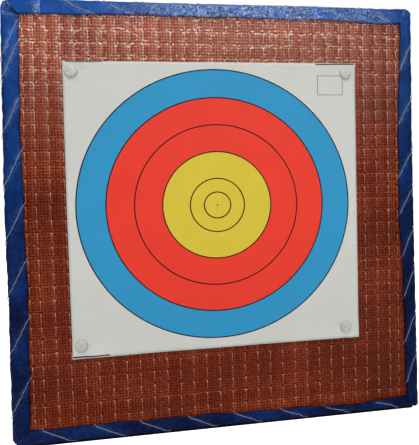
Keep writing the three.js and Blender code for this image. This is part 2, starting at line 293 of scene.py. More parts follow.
def ramp(factor, *stops, interpolation="LINEAR"):
    node = addNode(treeOf(factor), "ShaderNodeValToRGB", {"Fac": factor})
    bar = node.color_ramp
    bar.interpolation = interpolation
    bar.elements.remove(bar.elements[1])
    for number, (position, tone) in enumerate(stops):
        element = bar.elements.new(position) if number else bar.elements[0]
        element.position = position
        element.color = (*tone, 1) if hasattr(tone, "__len__") else (tone, tone, tone, 1)
    return Value(node.outputs["Color"])


def blend(share, first, second, kind="MIX"):
    node = addNode(treeOf(share, first, second), "ShaderNodeMix", data_type="RGBA", blend_type=kind)
    plug(node.inputs["Factor"], share)
    for label, value in (("A", first), ("B", second)):
        socket = next(s for s in node.inputs if s.name == label and s.type == "RGBA")
        plug(socket, value if isinstance(value, Value) else (*value, 1))
    return Value(next(s for s in node.outputs if s.type == "RGBA"))


def dimmed(colour, share):
    return blend(1.0, colour, combine(share, share, share), "MULTIPLY")


def bumpOn(inputs, height, strength, distance):
    plug(inputs["Normal"], put(treeOf(height), "ShaderNodeBump",
                               {"Height": height, "Strength": strength, "Distance": distance}))


def srgb(red, green, blue):
    # the linear value of a colour read off a screen, 0 to 255
    return tuple(c / 12.92 if c <= 0.04045 else ((c + 0.055) / 1.055) ** 2.4
                 for c in (red / 255, green / 255, blue / 255))


tapeLook = {
    "body": ((0.33, srgb(88, 22, 4)), (0.5, srgb(122, 40, 12)), (0.68, srgb(178, 82, 44))),
    "mix": (0.09, 0.36, 0.55),           # shares of each tape's own tone, the patches and the flecks
    "litTone": srgb(230, 126, 84),
    "litHeights": (0.36, 0.66),       # painted light: where the tapes begin to be painted lighter towards the top, and where that is full
    "litMost": 0.5,
    "litPatches": ((0.3, 0.6), (0.7, 1.0)),
    "rightSpan": (0.10, 0.26),           # where the duller right side begins and ends
    "rightShare": 0.55,                  # of the painted top light that the right side has
    "rightShade": 0.15,                  # how far the right side goes to the edge colour
    "tightMiddle": 0.13,                 # of the tightness, for which the tone stays as it is
    "tightHighlight": 0.1,
    "gloss": (0.16, 0.56),               # where no top light is painted, and where most is
    "glint": srgb(255, 226, 212),
    "glintFrom": ((0.59, 0.0), (0.65, 1.0)),
    "glintHeights": (0.46, 0.60),
    "glintShares": (0.35, 1.9),          # below and above these heights
    "puckerMiddle": 0.35,
    "puckerGlint": 0.15,
    # the colour of the painted shade along the tapes' edges and where they dive under; the duller right side
    # also goes towards it
    "edge": srgb(50, 9, 3),
    "edgeShades": (1.15, 0.75),          # of a level tape's lower and upper edge
    "uprightRelief": 0.65,               # how much less the edges of an upright tape are shaded
    "edgePower": 1.7,
    "underShade": ((0.0, 0.9), (0.5, 0.0)),      # where a tape goes under its neighbours
    "roughness": (0.26, 0.5),
}


def makeTapeMaterial():
    look = tapeLook
    material, inputs, spot = newMaterial("rust_tape")
    x, y, z = separate(spot)
    tape, across, rise, pucker, level = attributes(spot, "tape", "across", "rise", "pucker", "level")
    patch, fleck = noise(spot, 16.0), noise(spot, 330.0, 2.0)
    # the level tapes are drawn tight along each line of needle holes, and a highlight is painted there
    tight = pucker * level
    tapeShare, patchShare, fleckShare = look["mix"]
    mixed = tape * tapeShare + (patch * patchShare + fleck * fleckShare)
    body = ramp(mixed + (tight - look["tightMiddle"]) * look["tightHighlight"], *look["body"])
    # painted light: the tapes are painted lighter towards the top, in patches, where the light falls most
    height = remap(z, *look["litHeights"], 0.0, look["litMost"], interpolation_type="SMOOTHSTEP")
    topLitShare = height * remap(x, *look["rightSpan"], 1.0, look["rightShare"])
    litShare = topLitShare * ramp(patch, *look["litPatches"]) * (tight + (1 - look["tightMiddle"]))
    plug(inputs["Specular IOR Level"], remap(topLitShare, 0.0, look["litMost"], *look["gloss"]))
    body = blend(litShare, body, look["litTone"])
    # painted glints near the top, most of them beside the needle holes and the rows
    caught = noise(combine(x * 0.5, y, z), 340.0, 2.0) + (pucker - look["puckerMiddle"]) * look["puckerGlint"]
    lit = remap(z, *look["glintHeights"], *look["glintShares"])
    body = blend(litShare * lit * ramp(caught, *look["glintFrom"]), body, look["glint"])
    body = blend(remap(x, *look["rightSpan"], 0.0, look["rightShade"]), body, look["edge"])
    # painted shade: along the tapes' edges, most on a level tape's lower edge, and where a tape dives under
    # its neighbours
    edgeShade = remap(across * level, -1.0, 1.0, *look["edgeShades"])
    rim = abs(across) ** look["edgePower"] * (edgeShade - (1.0 - level) * look["uprightRelief"])
    under = ramp(rise * 0.5 + 0.5, *look["underShade"])
    plug(inputs["Base Color"], blend(calc("MAXIMUM", rim, under), body, look["edge"]))
    plug(inputs["Roughness"], remap(fleck, 0.0, 1.0, *look["roughness"]))
    stripe = noise(combine(across * 5.0, tape * 57.0), 1.0, 2.0)
    bumpOn(inputs, stripe + fleck * 0.5, 0.35, 0.0003)
    return material


def makeGapShadeMaterial():
    # painted shade: this dark colour stands for the shade seen through the gaps between the tapes, painted
    # lighter towards the top where the light falls most
    material, inputs, spot = newMaterial("gap_shade_backing", Roughness=0.85, Specular_IOR_Level=0.0)
    grain = noise(spot, 400.0)
    height = remap(separate(spot)[2], *tapeLook["litHeights"])
    plug(inputs["Base Color"],
         blend(height, ramp(grain, (0.3, srgb(56, 13, 3)), (0.7, srgb(84, 26, 8))), srgb(124, 56, 38)))
    bumpOn(inputs, grain, 0.4, 0.0003)
    return material


def makeThreadMaterial():
    # each stitch is painted with a highlight at its top and with shade where it dives into its lower hole;
    # the stitches higher up are painted lighter, where the light falls most
    material, inputs, spot = newMaterial("cream_thread", Roughness=0.6, Specular_IOR_Level=0.35)
    grain = noise(spot, 900.0, 4.0)
    along = attributes(spot, "along")[0] + (noise(spot, 60.0) - 0.5) * 0.5
    shadedLow = ramp(along, (0.0, srgb(240, 208, 166)), (0.12, srgb(218, 170, 124)),
                  (0.28, srgb(186, 124, 86)), (0.85, srgb(164, 96, 66)), (1.0, srgb(90, 40, 26)))
    litHigh = ramp(along, (0.0, srgb(255, 244, 232)), (0.3, srgb(240, 210, 186)),
                 (0.8, srgb(204, 158, 132)), (1.0, srgb(120, 64, 48)))
    body = blend(remap(separate(spot)[2], *tapeLook["litHeights"]), shadedLow, litHigh)
    plug(inputs["Base Color"], blend(1.0, body, ramp(grain, (0.3, 0.72), (0.6, 1.0)), "MULTIPLY"))
    bumpOn(inputs, grain, 0.5, 0.0004)
    return material


def makeTwineMaterial():
    material, inputs, spot = newMaterial("pale_twine", Roughness=0.55, Specular_IOR_Level=0.35)
    grain = noise(spot, 700.0, 4.0)
    # painted shade and highlight: the grooves between the strands are dark blue, the strands' crowns pale
    mixed = attributes(spot, "crown")[0] * 0.8 + grain * 0.2
    plug(inputs["Base Color"], ramp(mixed, (0.34, srgb(30, 48, 100)), (0.57, srgb(112, 132, 178)),
                                    (0.79, srgb(218, 226, 242))))
    bumpOn(inputs, grain, 0.4, 0.0003)
    return material


def makeHoleShadeMaterial():
    # painted shade: the hollow of each needle hole is near black
    material, inputs, spot = newMaterial("needle_hole", Roughness=0.95, Specular_IOR_Level=0.05)
    grain = noise(spot, 1200.0, 2.0)
    plug(inputs["Base Color"], ramp(grain, (0.3, srgb(16, 3, 1)), (0.7, srgb(40, 10, 5))))
    bumpOn(inputs, grain, 0.4, 0.0002)
    return material


wrapLook = {
    "body": ((0.36, srgb(4, 12, 42)), (0.5, srgb(10, 28, 74)), (0.68, srgb(14, 54, 120))),
    "litTone": srgb(6, 90, 182),
    "litHeights": (0.20, 0.66),
    "litMost": 0.75,
    "litPatches": ((0.3, 0.4), (0.7, 1.0)),
    "glossFrom": 0.3,            # how far into the painted top light the gloss begins to rise
    "gloss": (0.05, 0.15),
    "rightSpan": (0.255, 0.285),
    "rightShade": 0.7,           # the right band is darker
    "glareAndScuff": srgb(176, 196, 226),
    "glareAndScuffHeights": (0.32, 0.58),
    "glareAndScuffShares": (0.22, 1.0),  # below and above these heights; the scuffs and the painted glare are painted stronger towards the top, where the light falls most
    "scuffFrom": ((0.46, 0.0), (0.62, 1.0)),
    # colour of the painted shade in the folds and on the walls
    "paintedShade": srgb(4, 10, 34),
    "roughness": (0.24, 0.52),
    "weavePitch": 0.0016,
}


def makeWrapMaterial():
    look = wrapLook
    material, inputs, spot = newMaterial("blue_sheeting")
    x, y, z = separate(spot)
    glareAndWear, paintedShade = attributes(spot, "glareAndWear", "paintedShade")
    patch, streak = noise(spot, 22.0, 4.0), noise(spot, 210.0, 4.0, 0.65)
    body = ramp(patch * 0.55 + streak * 0.45, *look["body"])
    # painted light: the band is painted lighter towards the top, in patches, where the light falls most
    height = remap(z, *look["litHeights"], 0.0, look["litMost"])
    body = blend(height * ramp(patch, *look["litPatches"]), body, look["litTone"])
    plug(inputs["Specular IOR Level"], remap(height, look["glossFrom"], look["litMost"], *look["gloss"]))
    body = dimmed(body, remap(x, *look["rightSpan"], 1.0, look["rightShade"]))
    chafed = noise(spot, 520.0, 5.0, 0.7) * 0.7 + streak * 0.3
    # scuffs, and the painted glare on the top band and beside the folds, share one pale colour
    glareAndRub = glareAndWear * remap(z, *look["glareAndScuffHeights"], *look["glareAndScuffShares"]) * ramp(chafed, *look["scuffFrom"])
    plug(inputs["Base Color"], blend(paintedShade, blend(glareAndRub, body, look["glareAndScuff"]), look["paintedShade"]))
    plug(inputs["Roughness"], remap(streak, 0.0, 1.0, *look["roughness"]))
    turns = 2 * math.pi / look["weavePitch"]
    wefts = calc("SINE", (x + y) * turns) * calc("SINE", (z + y) * turns)
    ridges = ramp(abs(noise(spot, 85.0, 3.0, 0.6) - 0.5), (0.0, 1.0), (0.06, 0.0))
    crinkle = noise(spot, 60.0, 4.0, 0.6) + ridges * 0.3
    bumpOn(inputs, crinkle + wefts * 0.1, 0.7, 0.0014)
    return material


sheetLook = {
    "paper": srgb(206, 207, 201),
    "gold": srgb(214, 192, 62),
    "red": srgb(233, 62, 46),
    "blue": srgb(50, 148, 196),
    "ink": srgb(24, 16, 22),
    "ringOffset": (-0.00075, 0.0025),   # of the rings' middle, from the sheet's
    "zoneRadii": (0.080, 0.160, 0.2013),
    "zoneReach": 0.25,                  # the radius at the end of the colour ramp
    "lineRadii": (0.0195, 0.040, 0.080, 0.120, 0.160, 0.2013),
    "lineWidth": 0.0018,
    "boxMiddle": (0.1756, 0.1784),      # of the small empty box, from the ring middle
    "boxHalf": (0.0195, 0.0145),
    "boxLine": 0.0010,
    "boxInk": 0.75,
    "middleMark": 0.0012,
    "greyHeights": (0.34, 0.55),
    "topShade": 0.9,                    # painted shade: the sheet is painted a little darker towards its top
    "turnedLine": 0.0020,               # of the painted shadow line where the sheet's edge is turned a little
    "turnedEdges": [((faceLow.x + 0.001, faceLow.x + 0.052), faceLow.z + 0.0026, 0.95),
                    ((faceHigh.x - 0.062, faceHigh.x - 0.002), faceHigh.z - 0.0016, 0.9),
                    ((faceLow.x + 0.006, faceLow.x + 0.056), faceHigh.z - 0.0006, 0.75)],
}


def makeSheetMaterial():
    look = sheetLook
    material, inputs, spot = newMaterial("printed_sheet", Roughness=0.55, Specular_IOR_Level=0.12)
    x, _, z = separate(spot)
    offsetX, offsetZ = look["ringOffset"]
    dx, dz = x - ((faceLow.x + faceHigh.x) / 2 + offsetX), z - ((faceLow.z + faceHigh.z) / 2 + offsetZ)
    radius = calc("SQRT", dx * dx + dz * dz)
    gold, red, blue = (r / look["zoneReach"] for r in look["zoneRadii"])
    zones = ramp(radius / look["zoneReach"], (0, look["gold"]), (gold, look["red"]),
                 (red, look["blue"]), (blue, look["paper"]), interpolation="CONSTANT")
    marks = [calc("COMPARE", radius, line, look["lineWidth"] / 2) for line in look["lineRadii"]]
    marks.append(calc("LESS_THAN", radius, look["middleMark"]))
    (boxX, boxZ), (halfX, halfZ) = look["boxMiddle"], look["boxHalf"]
    offBox = calc("MAXIMUM", abs(dx - boxX) - halfX, abs(dz - boxZ) - halfZ)
    marks.append(calc("COMPARE", offBox, 0.0, look["boxLine"] / 2) * look["boxInk"])
    wavyZ = z + calc("SINE", x * 90.0) * 0.0003
    # painted shadow lines under the sheet's turned edges, in the ink colour
    for (fromX, toX), lineZ, strength in look["turnedEdges"]:
        inRun = calc("GREATER_THAN", x, fromX) * calc("LESS_THAN", x, toX)
        marks.append(inRun * calc("COMPARE", wavyZ, lineZ, look["turnedLine"] / 2) * strength)
    ink = 0.0
    for mark in marks:
        ink = calc("MAXIMUM", ink, mark)
    grain = noise(spot, 420.0, 3.0)
    worn = noise(spot, 26.0, 4.0) * 0.10 + grain * 0.06
    # painted shade: the print is a little darker towards the top
    printed = dimmed(zones, (worn + 0.92) * remap(z, *look["greyHeights"], 1.0, look["topShade"]))
    plug(inputs["Base Color"], blend(ink, printed, look["ink"]))
    bumpOn(inputs, noise(spot, 150.0, 5.0, 0.6) + grain * 0.4, 0.25, 0.0006)
    return material


def makePinMaterial():
    material, inputs, spot = newMaterial("pin_plastic", Roughness=0.5, Specular_IOR_Level=0.26,
                                         Subsurface_Weight=0.25, Subsurface_Radius=(0.003, 0.003, 0.0025))
    plug(inputs["Base Color"],
         ramp(noise(spot, 180.0, 3.0), (0.3, srgb(178, 181, 172)), (0.7, srgb(199, 201, 193))))
    bumpOn(inputs, noise(spot, 900.0, 2.0), 0.12, 0.0003)
    return material


def makeFillingMaterial(name, dark, light, layers):
    # compressed fibre: layers run along the mat's face, so they stack along Y
    material, inputs, spot = newMaterial(name, Roughness=0.95, Specular_IOR_Level=0.1)
    stretched = put(treeOf(spot), "ShaderNodeMapping", {"Vector": spot, "Scale": (90.0, layers, 90.0)})
    strands = noise(stretched, 1.0, 6.0, 0.7)
    plug(inputs["Base Color"], ramp(strands, (0.35, dark), (0.65, light)))
    bumpOn(inputs, strands, 0.8, 0.001)
    return material


tapeMaterial = makeTapeMaterial()
gapShadeMaterial = makeGapShadeMaterial()
threadMaterial = makeThreadMaterial()
twineMaterial = makeTwineMaterial()
holeShadeMaterial = makeHoleShadeMaterial()
wrapMaterial = makeWrapMaterial()
sheetMaterial = makeSheetMaterial()
pinMaterial = makePinMaterial()
waddingMaterial = makeFillingMaterial("white_wadding", srgb(170, 165, 152), srgb(224, 220, 208), 300.0)
coreMaterial = makeFillingMaterial("pressed_core", srgb(52, 50, 48), srgb(118, 112, 104), 900.0)
print("materials made")


# The quilted form that cloth, tapes and thread follow: channels between upright rows,
# drawn down at every needle hole

quilt = {
    "rowPitch": 0.0194,
    "leastChannel": 0.010,
    "edgeRowInset": 0.0018,
    "bandWidth": 0.024,
    "crown": 0.0020,
    "channelFill": 0.93,         # of the crown that the channels reach
    "channelPower": 0.75,
    "topHole": 0.6208,
    "stitchPitch": 0.01941,
    "slope": 0.0075,             # the stitches sit lower to the right
    "rowScatter": 0.0007,
    "holeDip": 0.0009,
    "holeSpread": 0.0021,
    "lineDip": 0.0009,           # the cloth is drawn down along every line of holes
    "lineSpread": 0.0019,
    "looseDepth": 0.00018,
    "looseLength": 0.045,
    "pull": 0.0055,              # how far the rows lean in at the front's top left corner
    "pullPlaces": (-0.262, -0.242, -0.204, -0.150),
    "pullShares": (1, 0.55, 0.3, 0),
    "pullTop": 0.612,
    "pullFoot": 0.340,
    "seed": 5,
}


def rowPlaces():
    edgeRow = bossWidth / 2 - quilt["bandWidth"] - quilt["edgeRowInset"]
    count = int((edgeRow - quilt["leastChannel"]) / quilt["rowPitch"] + 0.5)
    half = [(k + 0.5) * quilt["rowPitch"] for k in range(count)] + [edgeRow]
    return np.array([-x for x in reversed(half)] + half)


rowXs = rowPlaces()
rowDepth = crownDepth - quilt["crown"]
scatter = np.random.default_rng(quilt["seed"]).uniform(-1, 1, len(rowXs)) * quilt["rowScatter"]
rowTops = quilt["topHole"] - quilt["slope"] * (rowXs - rowXs[0]) + scatter
stitchLines = np.arange(quilt["topHole"], 0.0, -quilt["stitchPitch"])[::-1]


def channelPlace(x, z):
    # the share of the way across a channel, and how far the nearest row and line of holes are
    row = np.clip(np.searchsorted(rowXs, x) - 1, 0, len(rowXs) - 2)
    width = rowXs[row + 1] - rowXs[row]
    share = np.clip((x - rowXs[row]) / width, 0, 1)
    top = rowTops[row] * (1 - share) + rowTops[row + 1] * share
    turn = (top - z) / quilt["stitchPitch"]
    offHole = (turn - np.round(turn)) * quilt["stitchPitch"]
    offRow = np.minimum(np.abs(x - rowXs[row]), np.abs(x - rowXs[row + 1]))
    return share, offRow, offHole


def quiltDepth(x, z):
    # how far out from the middle plane the cover lies
    share, offRow, offHole = channelPlace(x, z)
    channel = np.sin(np.pi * share) ** quilt["channelPower"]
    dip = quilt["holeDip"] * bell(np.hypot(offRow, offHole), quilt["holeSpread"])
    line = quilt["lineDip"] * channel * bell(offHole, quilt["lineSpread"])
    loose = quilt["looseDepth"] * softNoise(x, z, quilt["looseLength"], quilt["seed"]) * channel
    return rowDepth + quilt["crown"] * channel * quilt["channelFill"] - dip - line + loose


def toSide(points, back):
    # the cover is pulled a little at one corner; what is built for the front is turned half
    # round for the back
    points = np.array(points, float)
    atSide = np.interp(points[:, 0], quilt["pullPlaces"], quilt["pullShares"])
    atTop = np.interp(points[:, 2], (quilt["pullFoot"], quilt["pullTop"]), (0, 1))
    points[:, 0] += quilt["pull"] * atSide * atTop
    return points * np.array([-1, -1, 1]) if back else points


# Cover cloth: a backing, painted dark as the shade in the weave's gaps, with two layers of tapes woven over
# it

weave = {
    "pitch": 0.0043,
    "tapeWidth": 0.0029,
    "lift": 0.0003,
    "tapeCrown": 0.00024,
    "wander": 0.0002,            # of the tapes from their straight lines
    "wanderLength": 0.03,
    "sink": 0.00055,             # of the tapes' middle below the quilted form
    "backingSink": 0.0012,
    "backingThickness": 0.0005,
    "coverMargin": 0.004,        # the tapes stop this far inside the cover's edge
    "openRadius": 0.0014,        # of the needle holes in the tapes
    "puckerSpread": 0.0032,      # of the tightness beside a line of holes
    "puckerBetween": 0.45,       # its share halfway between two rows
    "rowPucker": 0.3,
    "rowPuckerSpread": 0.0035,
    "seed": 12,
}


def oddCount(length):
    count = int(length / weave["pitch"])
    return count if count % 2 else count - 1


def makeTapeTree():
    tree, entry = newTree("tape_layer", ["Tapes", "Crossings", "Seed"],
                          ["Pitch", "Tape Width", "Lift", "Crown", "Phase"])
    tapes, crossings, pitch = entry["Tapes"], entry["Crossings"], entry["Pitch"]
    tape = put(tree, "GeometryNodeMeshGrid", {
        "Size X": entry["Tape Width"], "Size Y": crossings * pitch,
        "Vertices X": 3, "Vertices Y": crossings * 2.0 + 1.0})
    halfCount = (tapes - 1.0) / 2.0
    line = put(tree, "GeometryNodeMeshLine", {
        "Count": tapes, "Start Location": combine(halfCount * (pitch * -1.0)), "Offset": combine(pitch)})
    laid = put(tree, "GeometryNodeInstanceOnPoints", {"Points": line, "Instance": tape})
    flat = put(tree, "GeometryNodeRealizeInstances", {"Geometry": laid})
    x, y, _ = separate(put(tree, "GeometryNodeInputPosition"))
    column = x / pitch + halfCount
    index = calc("ROUND", column)
    offMiddle = (column - index) * (pitch * 2.0 / entry["Tape Width"])
    chance = put(tree, "FunctionNodeRandomValue", {"ID": index, "Seed": entry["Seed"]}, data_type="FLOAT")
    rise = calc("COSINE", (y / pitch + crossings / 2.0 + index + entry["Phase"]) * math.pi)
    marked = stored(stored(stored(flat, "tape", chance), "across", offMiddle), "rise", rise)
    dome = entry["Crown"] * (1.0 - offMiddle * offMiddle)
    woven = put(tree, "GeometryNodeSetPosition", {
        "Geometry": marked, "Offset": combine(z=rise * entry["Lift"] + dome)})
    return endTree(tree, woven, entry["Material"])


def openHoles(mesh):
    # takes away the bits of tape over each needle hole
    corners = np.zeros(len(mesh.loops), int)
    mesh.loops.foreach_get("vertex_index", corners)
    x, _, z = pointsOf(mesh)[corners.reshape(-1, 4)].mean(1).T
    _, offRow, offHole = channelPlace(x, z)
    gone = np.flatnonzero(np.hypot(offRow, offHole) < weave["openRadius"])
    work = bmesh.new()
    work.from_mesh(mesh)
    work.faces.ensure_lookup_table()
    bmesh.ops.delete(work, geom=[work.faces[k] for k in gone], context="FACES")
    work.to_mesh(mesh)
    work.free()


def makeTapes(name, tree, turned, back):
    width = coverHigh.x - coverLow.x - weave["coverMargin"]
    height = coverHigh.z - coverLow.z - weave["coverMargin"]
    upright, level = oddCount(width), oddCount(height)
    piece = growPiece(name, tree, {
        "Tapes": level if turned else upright, "Crossings": upright if turned else level,
        "Pitch": weave["pitch"], "Tape Width": weave["tapeWidth"], "Lift": weave["lift"],
        "Crown": weave["tapeCrown"], "Phase": 0.5 if turned else -0.5,
        "Seed": weave["seed"] + turned + 2 * back, "Material": tapeMaterial})
    mesh = piece.data
    across, along, lift = pointsOf(mesh).T
    x, z = (-along, across) if turned else (across, along)
    x = x + weave["wander"] * softNoise(x, z, weave["wanderLength"], weave["seed"] + 3)
    z = z + weave["wander"] * softNoise(x, z, weave["wanderLength"], weave["seed"] + 4)
    z = z + (coverLow.z + coverHigh.z) / 2
    movePoints(mesh, np.stack([x, -(quiltDepth(x, z) + lift - weave["sink"]), z], 1))
    _, offRow, offHole = channelPlace(x, z)
    # where highlights get painted on the tapes: beside each line of holes, and most near the rows
    nearRow, between = bell(offRow, weave["rowPuckerSpread"]), weave["puckerBetween"]
    pucker = bell(offHole, weave["puckerSpread"]) * (between + (1 - between) * nearRow)
    addValues(mesh, "pucker", pucker + weave["rowPucker"] * nearRow)
    addValues(mesh, "level", np.full(len(x), float(turned)))
    openHoles(mesh)
    movePoints(mesh, toSide(pointsOf(mesh), back))
    return piece


def channelSamples(low, high, breaks, each):
    # stations between the rows, `each` to a channel, and the two ends
    ends = [low, *(b for b in breaks if low < b < high), high]
    places = [a + (b - a) * k / each for a, b in zip(ends, ends[1:]) for k in range(each)]
    return np.array(places + [high])


def slabPiece(name, xs, zs, outer, inner, material, back=False):
    # a closed slab whose two faces are given as depths over a grid
    gridX, gridZ = np.meshgrid(xs, zs)
    rows, columns = gridX.shape
    sheets = [np.stack([gridX, -depth(gridX, gridZ), gridZ], 2).reshape(-1, 3) for depth in (outer, inner)]
    faces = gridFaces(rows, columns)
    index = np.arange(rows * columns).reshape(rows, columns)
    loop = np.concatenate([index[0, :-1], index[:-1, -1], index[-1, :0:-1], index[:0:-1, 0]])
    after = np.roll(loop, -1)
    rim = np.stack([loop, after, after + index.size, loop + index.size], 1)
    everything = np.concatenate([faces, faces[:, ::-1] + index.size, rim])
    mesh = meshFrom(name, toSide(np.concatenate(sheets), back), everything)
    return newPiece(name, faceOut(mesh), material)


def makeCover(side, back, tree):
    xs = channelSamples(coverLow.x, coverHigh.x, rowXs, 5)
    zs = channelSamples(coverLow.z, coverHigh.z, stitchLines, 4)
    cloth = slabPiece(side + "_cover_gap_shade", xs, zs,
                      lambda x, z: quiltDepth(x, z) - weave["backingSink"],
                      lambda x, z: quiltDepth(x, z) - weave["backingSink"] - weave["backingThickness"],
                      gapShadeMaterial, back)
    upright = makeTapes(side + "_upright_tapes", tree, False, back)
    level = makeTapes(side + "_level_tapes", tree, True, back)
    for piece in (cloth, upright, level):
        declare(piece, "mat", side + "_cover")
    side + "_wadding_pad"


wadding = {
    "room": 0.0002,              # between the pad and the cloth's backing
    "bumps": 0.0001,
    "bumpLengths": (0.006, 0.008),       # over and under the pad
    "fill": 0.5,
}


def makeWadding(side, back):
    low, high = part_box("front_wadding")
    xs = channelSamples(low.x, high.x, rowXs, 4)
    zs = channelSamples(low.z, high.z, stitchLines, 3)
    under = weave["backingSink"] + weave["backingThickness"] + wadding["room"]
    topLength, bottomLength = wadding["bumpLengths"]

    def top(x, z):
        return quiltDepth(x, z) - under + wadding["bumps"] * softNoise(x, z, topLength, 8)

    def bottom(x, z):
        return np.full_like(x, -high.y) + wadding["bumps"] * softNoise(x, z, bottomLength, 9)

    pad = slabPiece(side + "_wadding_pad", xs, zs, top, bottom, waddingMaterial, back)
    declare(pad, "mat", side + "_wadding")


tapeTree = makeTapeTree()
for side, back in (("front", False), ("back", True)):
    makeWadding(side, back)
    makeCover(side, back, tapeTree)
print("covers and wadding made")


# Quilting stitches: one loop of thread from hole to hole, and at its top a needle hole painted dark as shade

stitch = {
    "radius": 0.00042,
    "sides": 5,
    "steps": 8,
    "above": 0.0004,             # of the thread's middle over the bottom of the channel
    "gap": 0.0012,               # from the middle of a hole to each end of the thread
    "tuck": 0.0018,              # how deep its ends go into the holes
    "tuckPower": 7.0,
    "hook": 0.0009,
    "hookPower": 12.0,
    "lean": 0.035,               # the most that a loop leans to either side
    "tieLength": 0.0034,
    "tieHeight": 0.0004,
    "tieChance": 0.11,
    "tieTurn": 0.3,
    "tieSizes": (0.4, 1.5),      # the shortest and the longest, of the length
    "holeRadius": 0.0019,        # of the hollow under the opened tapes, painted dark as shade
    "holeDepth": 0.0002,
    "holeSink": 0.0009,          # below the cloth's own surface
    "seed": 31,
}


def tubeAlong(curve, radius, sides):
    tree = treeOf(curve)
    section = put(tree, "GeometryNodeCurvePrimitiveCircle", {"Resolution": sides, "Radius": radius})
    return put(tree, "GeometryNodeCurveToMesh", {"Curve": curve, "Profile Curve": section})


def chanceVector(low, high, seed):
    return put(treeOf(seed), "FunctionNodeRandomValue", {0: low, 1: high, "Seed": seed},
               data_type="FLOAT_VECTOR")


def makeStitchTree():
    tree, entry = newTree("stitch_row", ["Sides", "Steps", "Seed"],
                          ["Length", "Radius", "Tuck", "Hook", "Tie Length", "Tie Chance"])
    sites, seed = entry["Geometry"], entry["Seed"]
    line = put(tree, "GeometryNodeCurvePrimitiveLine", {"End": combine(z=entry["Length"] * -1.0)})
    fine = put(tree, "GeometryNodeResampleCurve", {"Curve": line, "Count": entry["Steps"]})
    share = put(tree, "GeometryNodeSplineParameter")
    bent = combine((1.0 - share) ** stitch["hookPower"] * (entry["Hook"] * -1.0),
                   abs(share * 2.0 - 1.0) ** stitch["tuckPower"] * entry["Tuck"])
    laid = put(tree, "GeometryNodeSetPosition", {"Geometry": stored(fine, "along", share), "Offset": bent})
    loops = put(tree, "GeometryNodeInstanceOnPoints", {
        "Points": sites, "Instance": tubeAlong(laid, entry["Radius"], entry["Sides"]),
        "Rotation": chanceVector((0, -stitch["lean"], 0), (0, stitch["lean"], 0), seed)})
    half, height = entry["Tie Length"] / 2.0, stitch["tieHeight"]
    tie = put(tree, "GeometryNodeCurvePrimitiveLine", {
        "Start": combine(half * -1.0, -height), "End": combine(half, -height, height)})
    shortest, longest = stitch["tieSizes"]
    ties = put(tree, "GeometryNodeInstanceOnPoints", {
        "Points": sites, "Instance": tubeAlong(tie, entry["Radius"] * 0.75, 4),
        "Rotation": chanceVector((0, -stitch["tieTurn"], 0), (0, stitch["tieTurn"], 0), seed + 7.0),
        "Scale": chanceVector((shortest, 1, 1), (longest, 1, 1), seed + 9.0),
        "Selection": put(tree, "FunctionNodeRandomValue", {
            "Probability": entry["Tie Chance"], "Seed": seed}, data_type="BOOLEAN")})
    both = addNode(tree, "GeometryNodeJoinGeometry")
    plug(both.inputs[0], loops)
    plug(both.inputs[0], ties)
    return endTree(tree, Value(both.outputs[0]), entry["Material"])


def makeHoleTree():
    tree, entry = newTree("needle_holes", [], ["Radius", "Depth"])
    dish = put(tree, "GeometryNodeMeshCone", {
        "Vertices": 8, "Radius Top": entry["Radius"] * 0.3,
        "Radius Bottom": entry["Radius"], "Depth": entry["Depth"]}, fill_type="NONE")
    facing = put(tree, "GeometryNodeFlipFaces", {"Mesh": dish})
    turned = put(tree, "GeometryNodeTransform", {"Geometry": facing, "Rotation": (-math.pi / 2, 0, 0)})
    holes = put(tree, "GeometryNodeInstanceOnPoints", {"Points": entry["Geometry"], "Instance": turned})
    return endTree(tree, holes, entry["Material"])


def stitchSites(name, outward, below):
    threadLow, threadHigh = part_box("front_quilting_thread")
    sites = []
    for x, top in zip(rowXs, rowTops):
        for turn in range(-1, 40):
            z = top - turn * quilt["stitchPitch"]
            if z < threadHigh.z and z - quilt["stitchPitch"] > threadLow.z:
                sites.append((x, -(rowDepth + outward), z - below))
    return meshFrom(name, sites, [])


def makeQuilting(side, back, stitchTree, holeTree):
    thread = growPiece(side + "_quilting_stitches", stitchTree, {
        "Length": quilt["stitchPitch"] - 2 * stitch["gap"], "Radius": stitch["radius"],
        "Sides": stitch["sides"], "Steps": stitch["steps"], "Tuck": stitch["tuck"],
        "Hook": stitch["hook"], "Tie Length": stitch["tieLength"], "Tie Chance": stitch["tieChance"],
        "Seed": stitch["seed"] + back, "Material": threadMaterial},
        stitchSites("stitch_sites", stitch["above"], stitch["gap"]))
    holes = growPiece(side + "_needle_holes", holeTree, {
        "Radius": stitch["holeRadius"], "Depth": stitch["holeDepth"], "Material": holeShadeMaterial},
        stitchSites("hole_sites", -quilt["holeDip"] - stitch["holeSink"], 0))
    for piece in (thread, holes):
        movePoints(piece.data, toSide(pointsOf(piece.data), back))
    declare(thread, "mat", side + "_quilting_thread")
    declare(holes, "mat")


stitchTree, holeTree = makeStitchTree(), makeHoleTree()
for side, back in (("front", False), ("back", True)):
    makeQuilting(side, back, stitchTree, holeTree)
print("quilting made")


# Lacing: one twine along each side, whipped round the rim through the mat. The holes' shares
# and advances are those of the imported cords. Each side also says, at shares of its run, how far in
# its hem lies and how far its outer edge draws in, both in millimetres from the boss's side

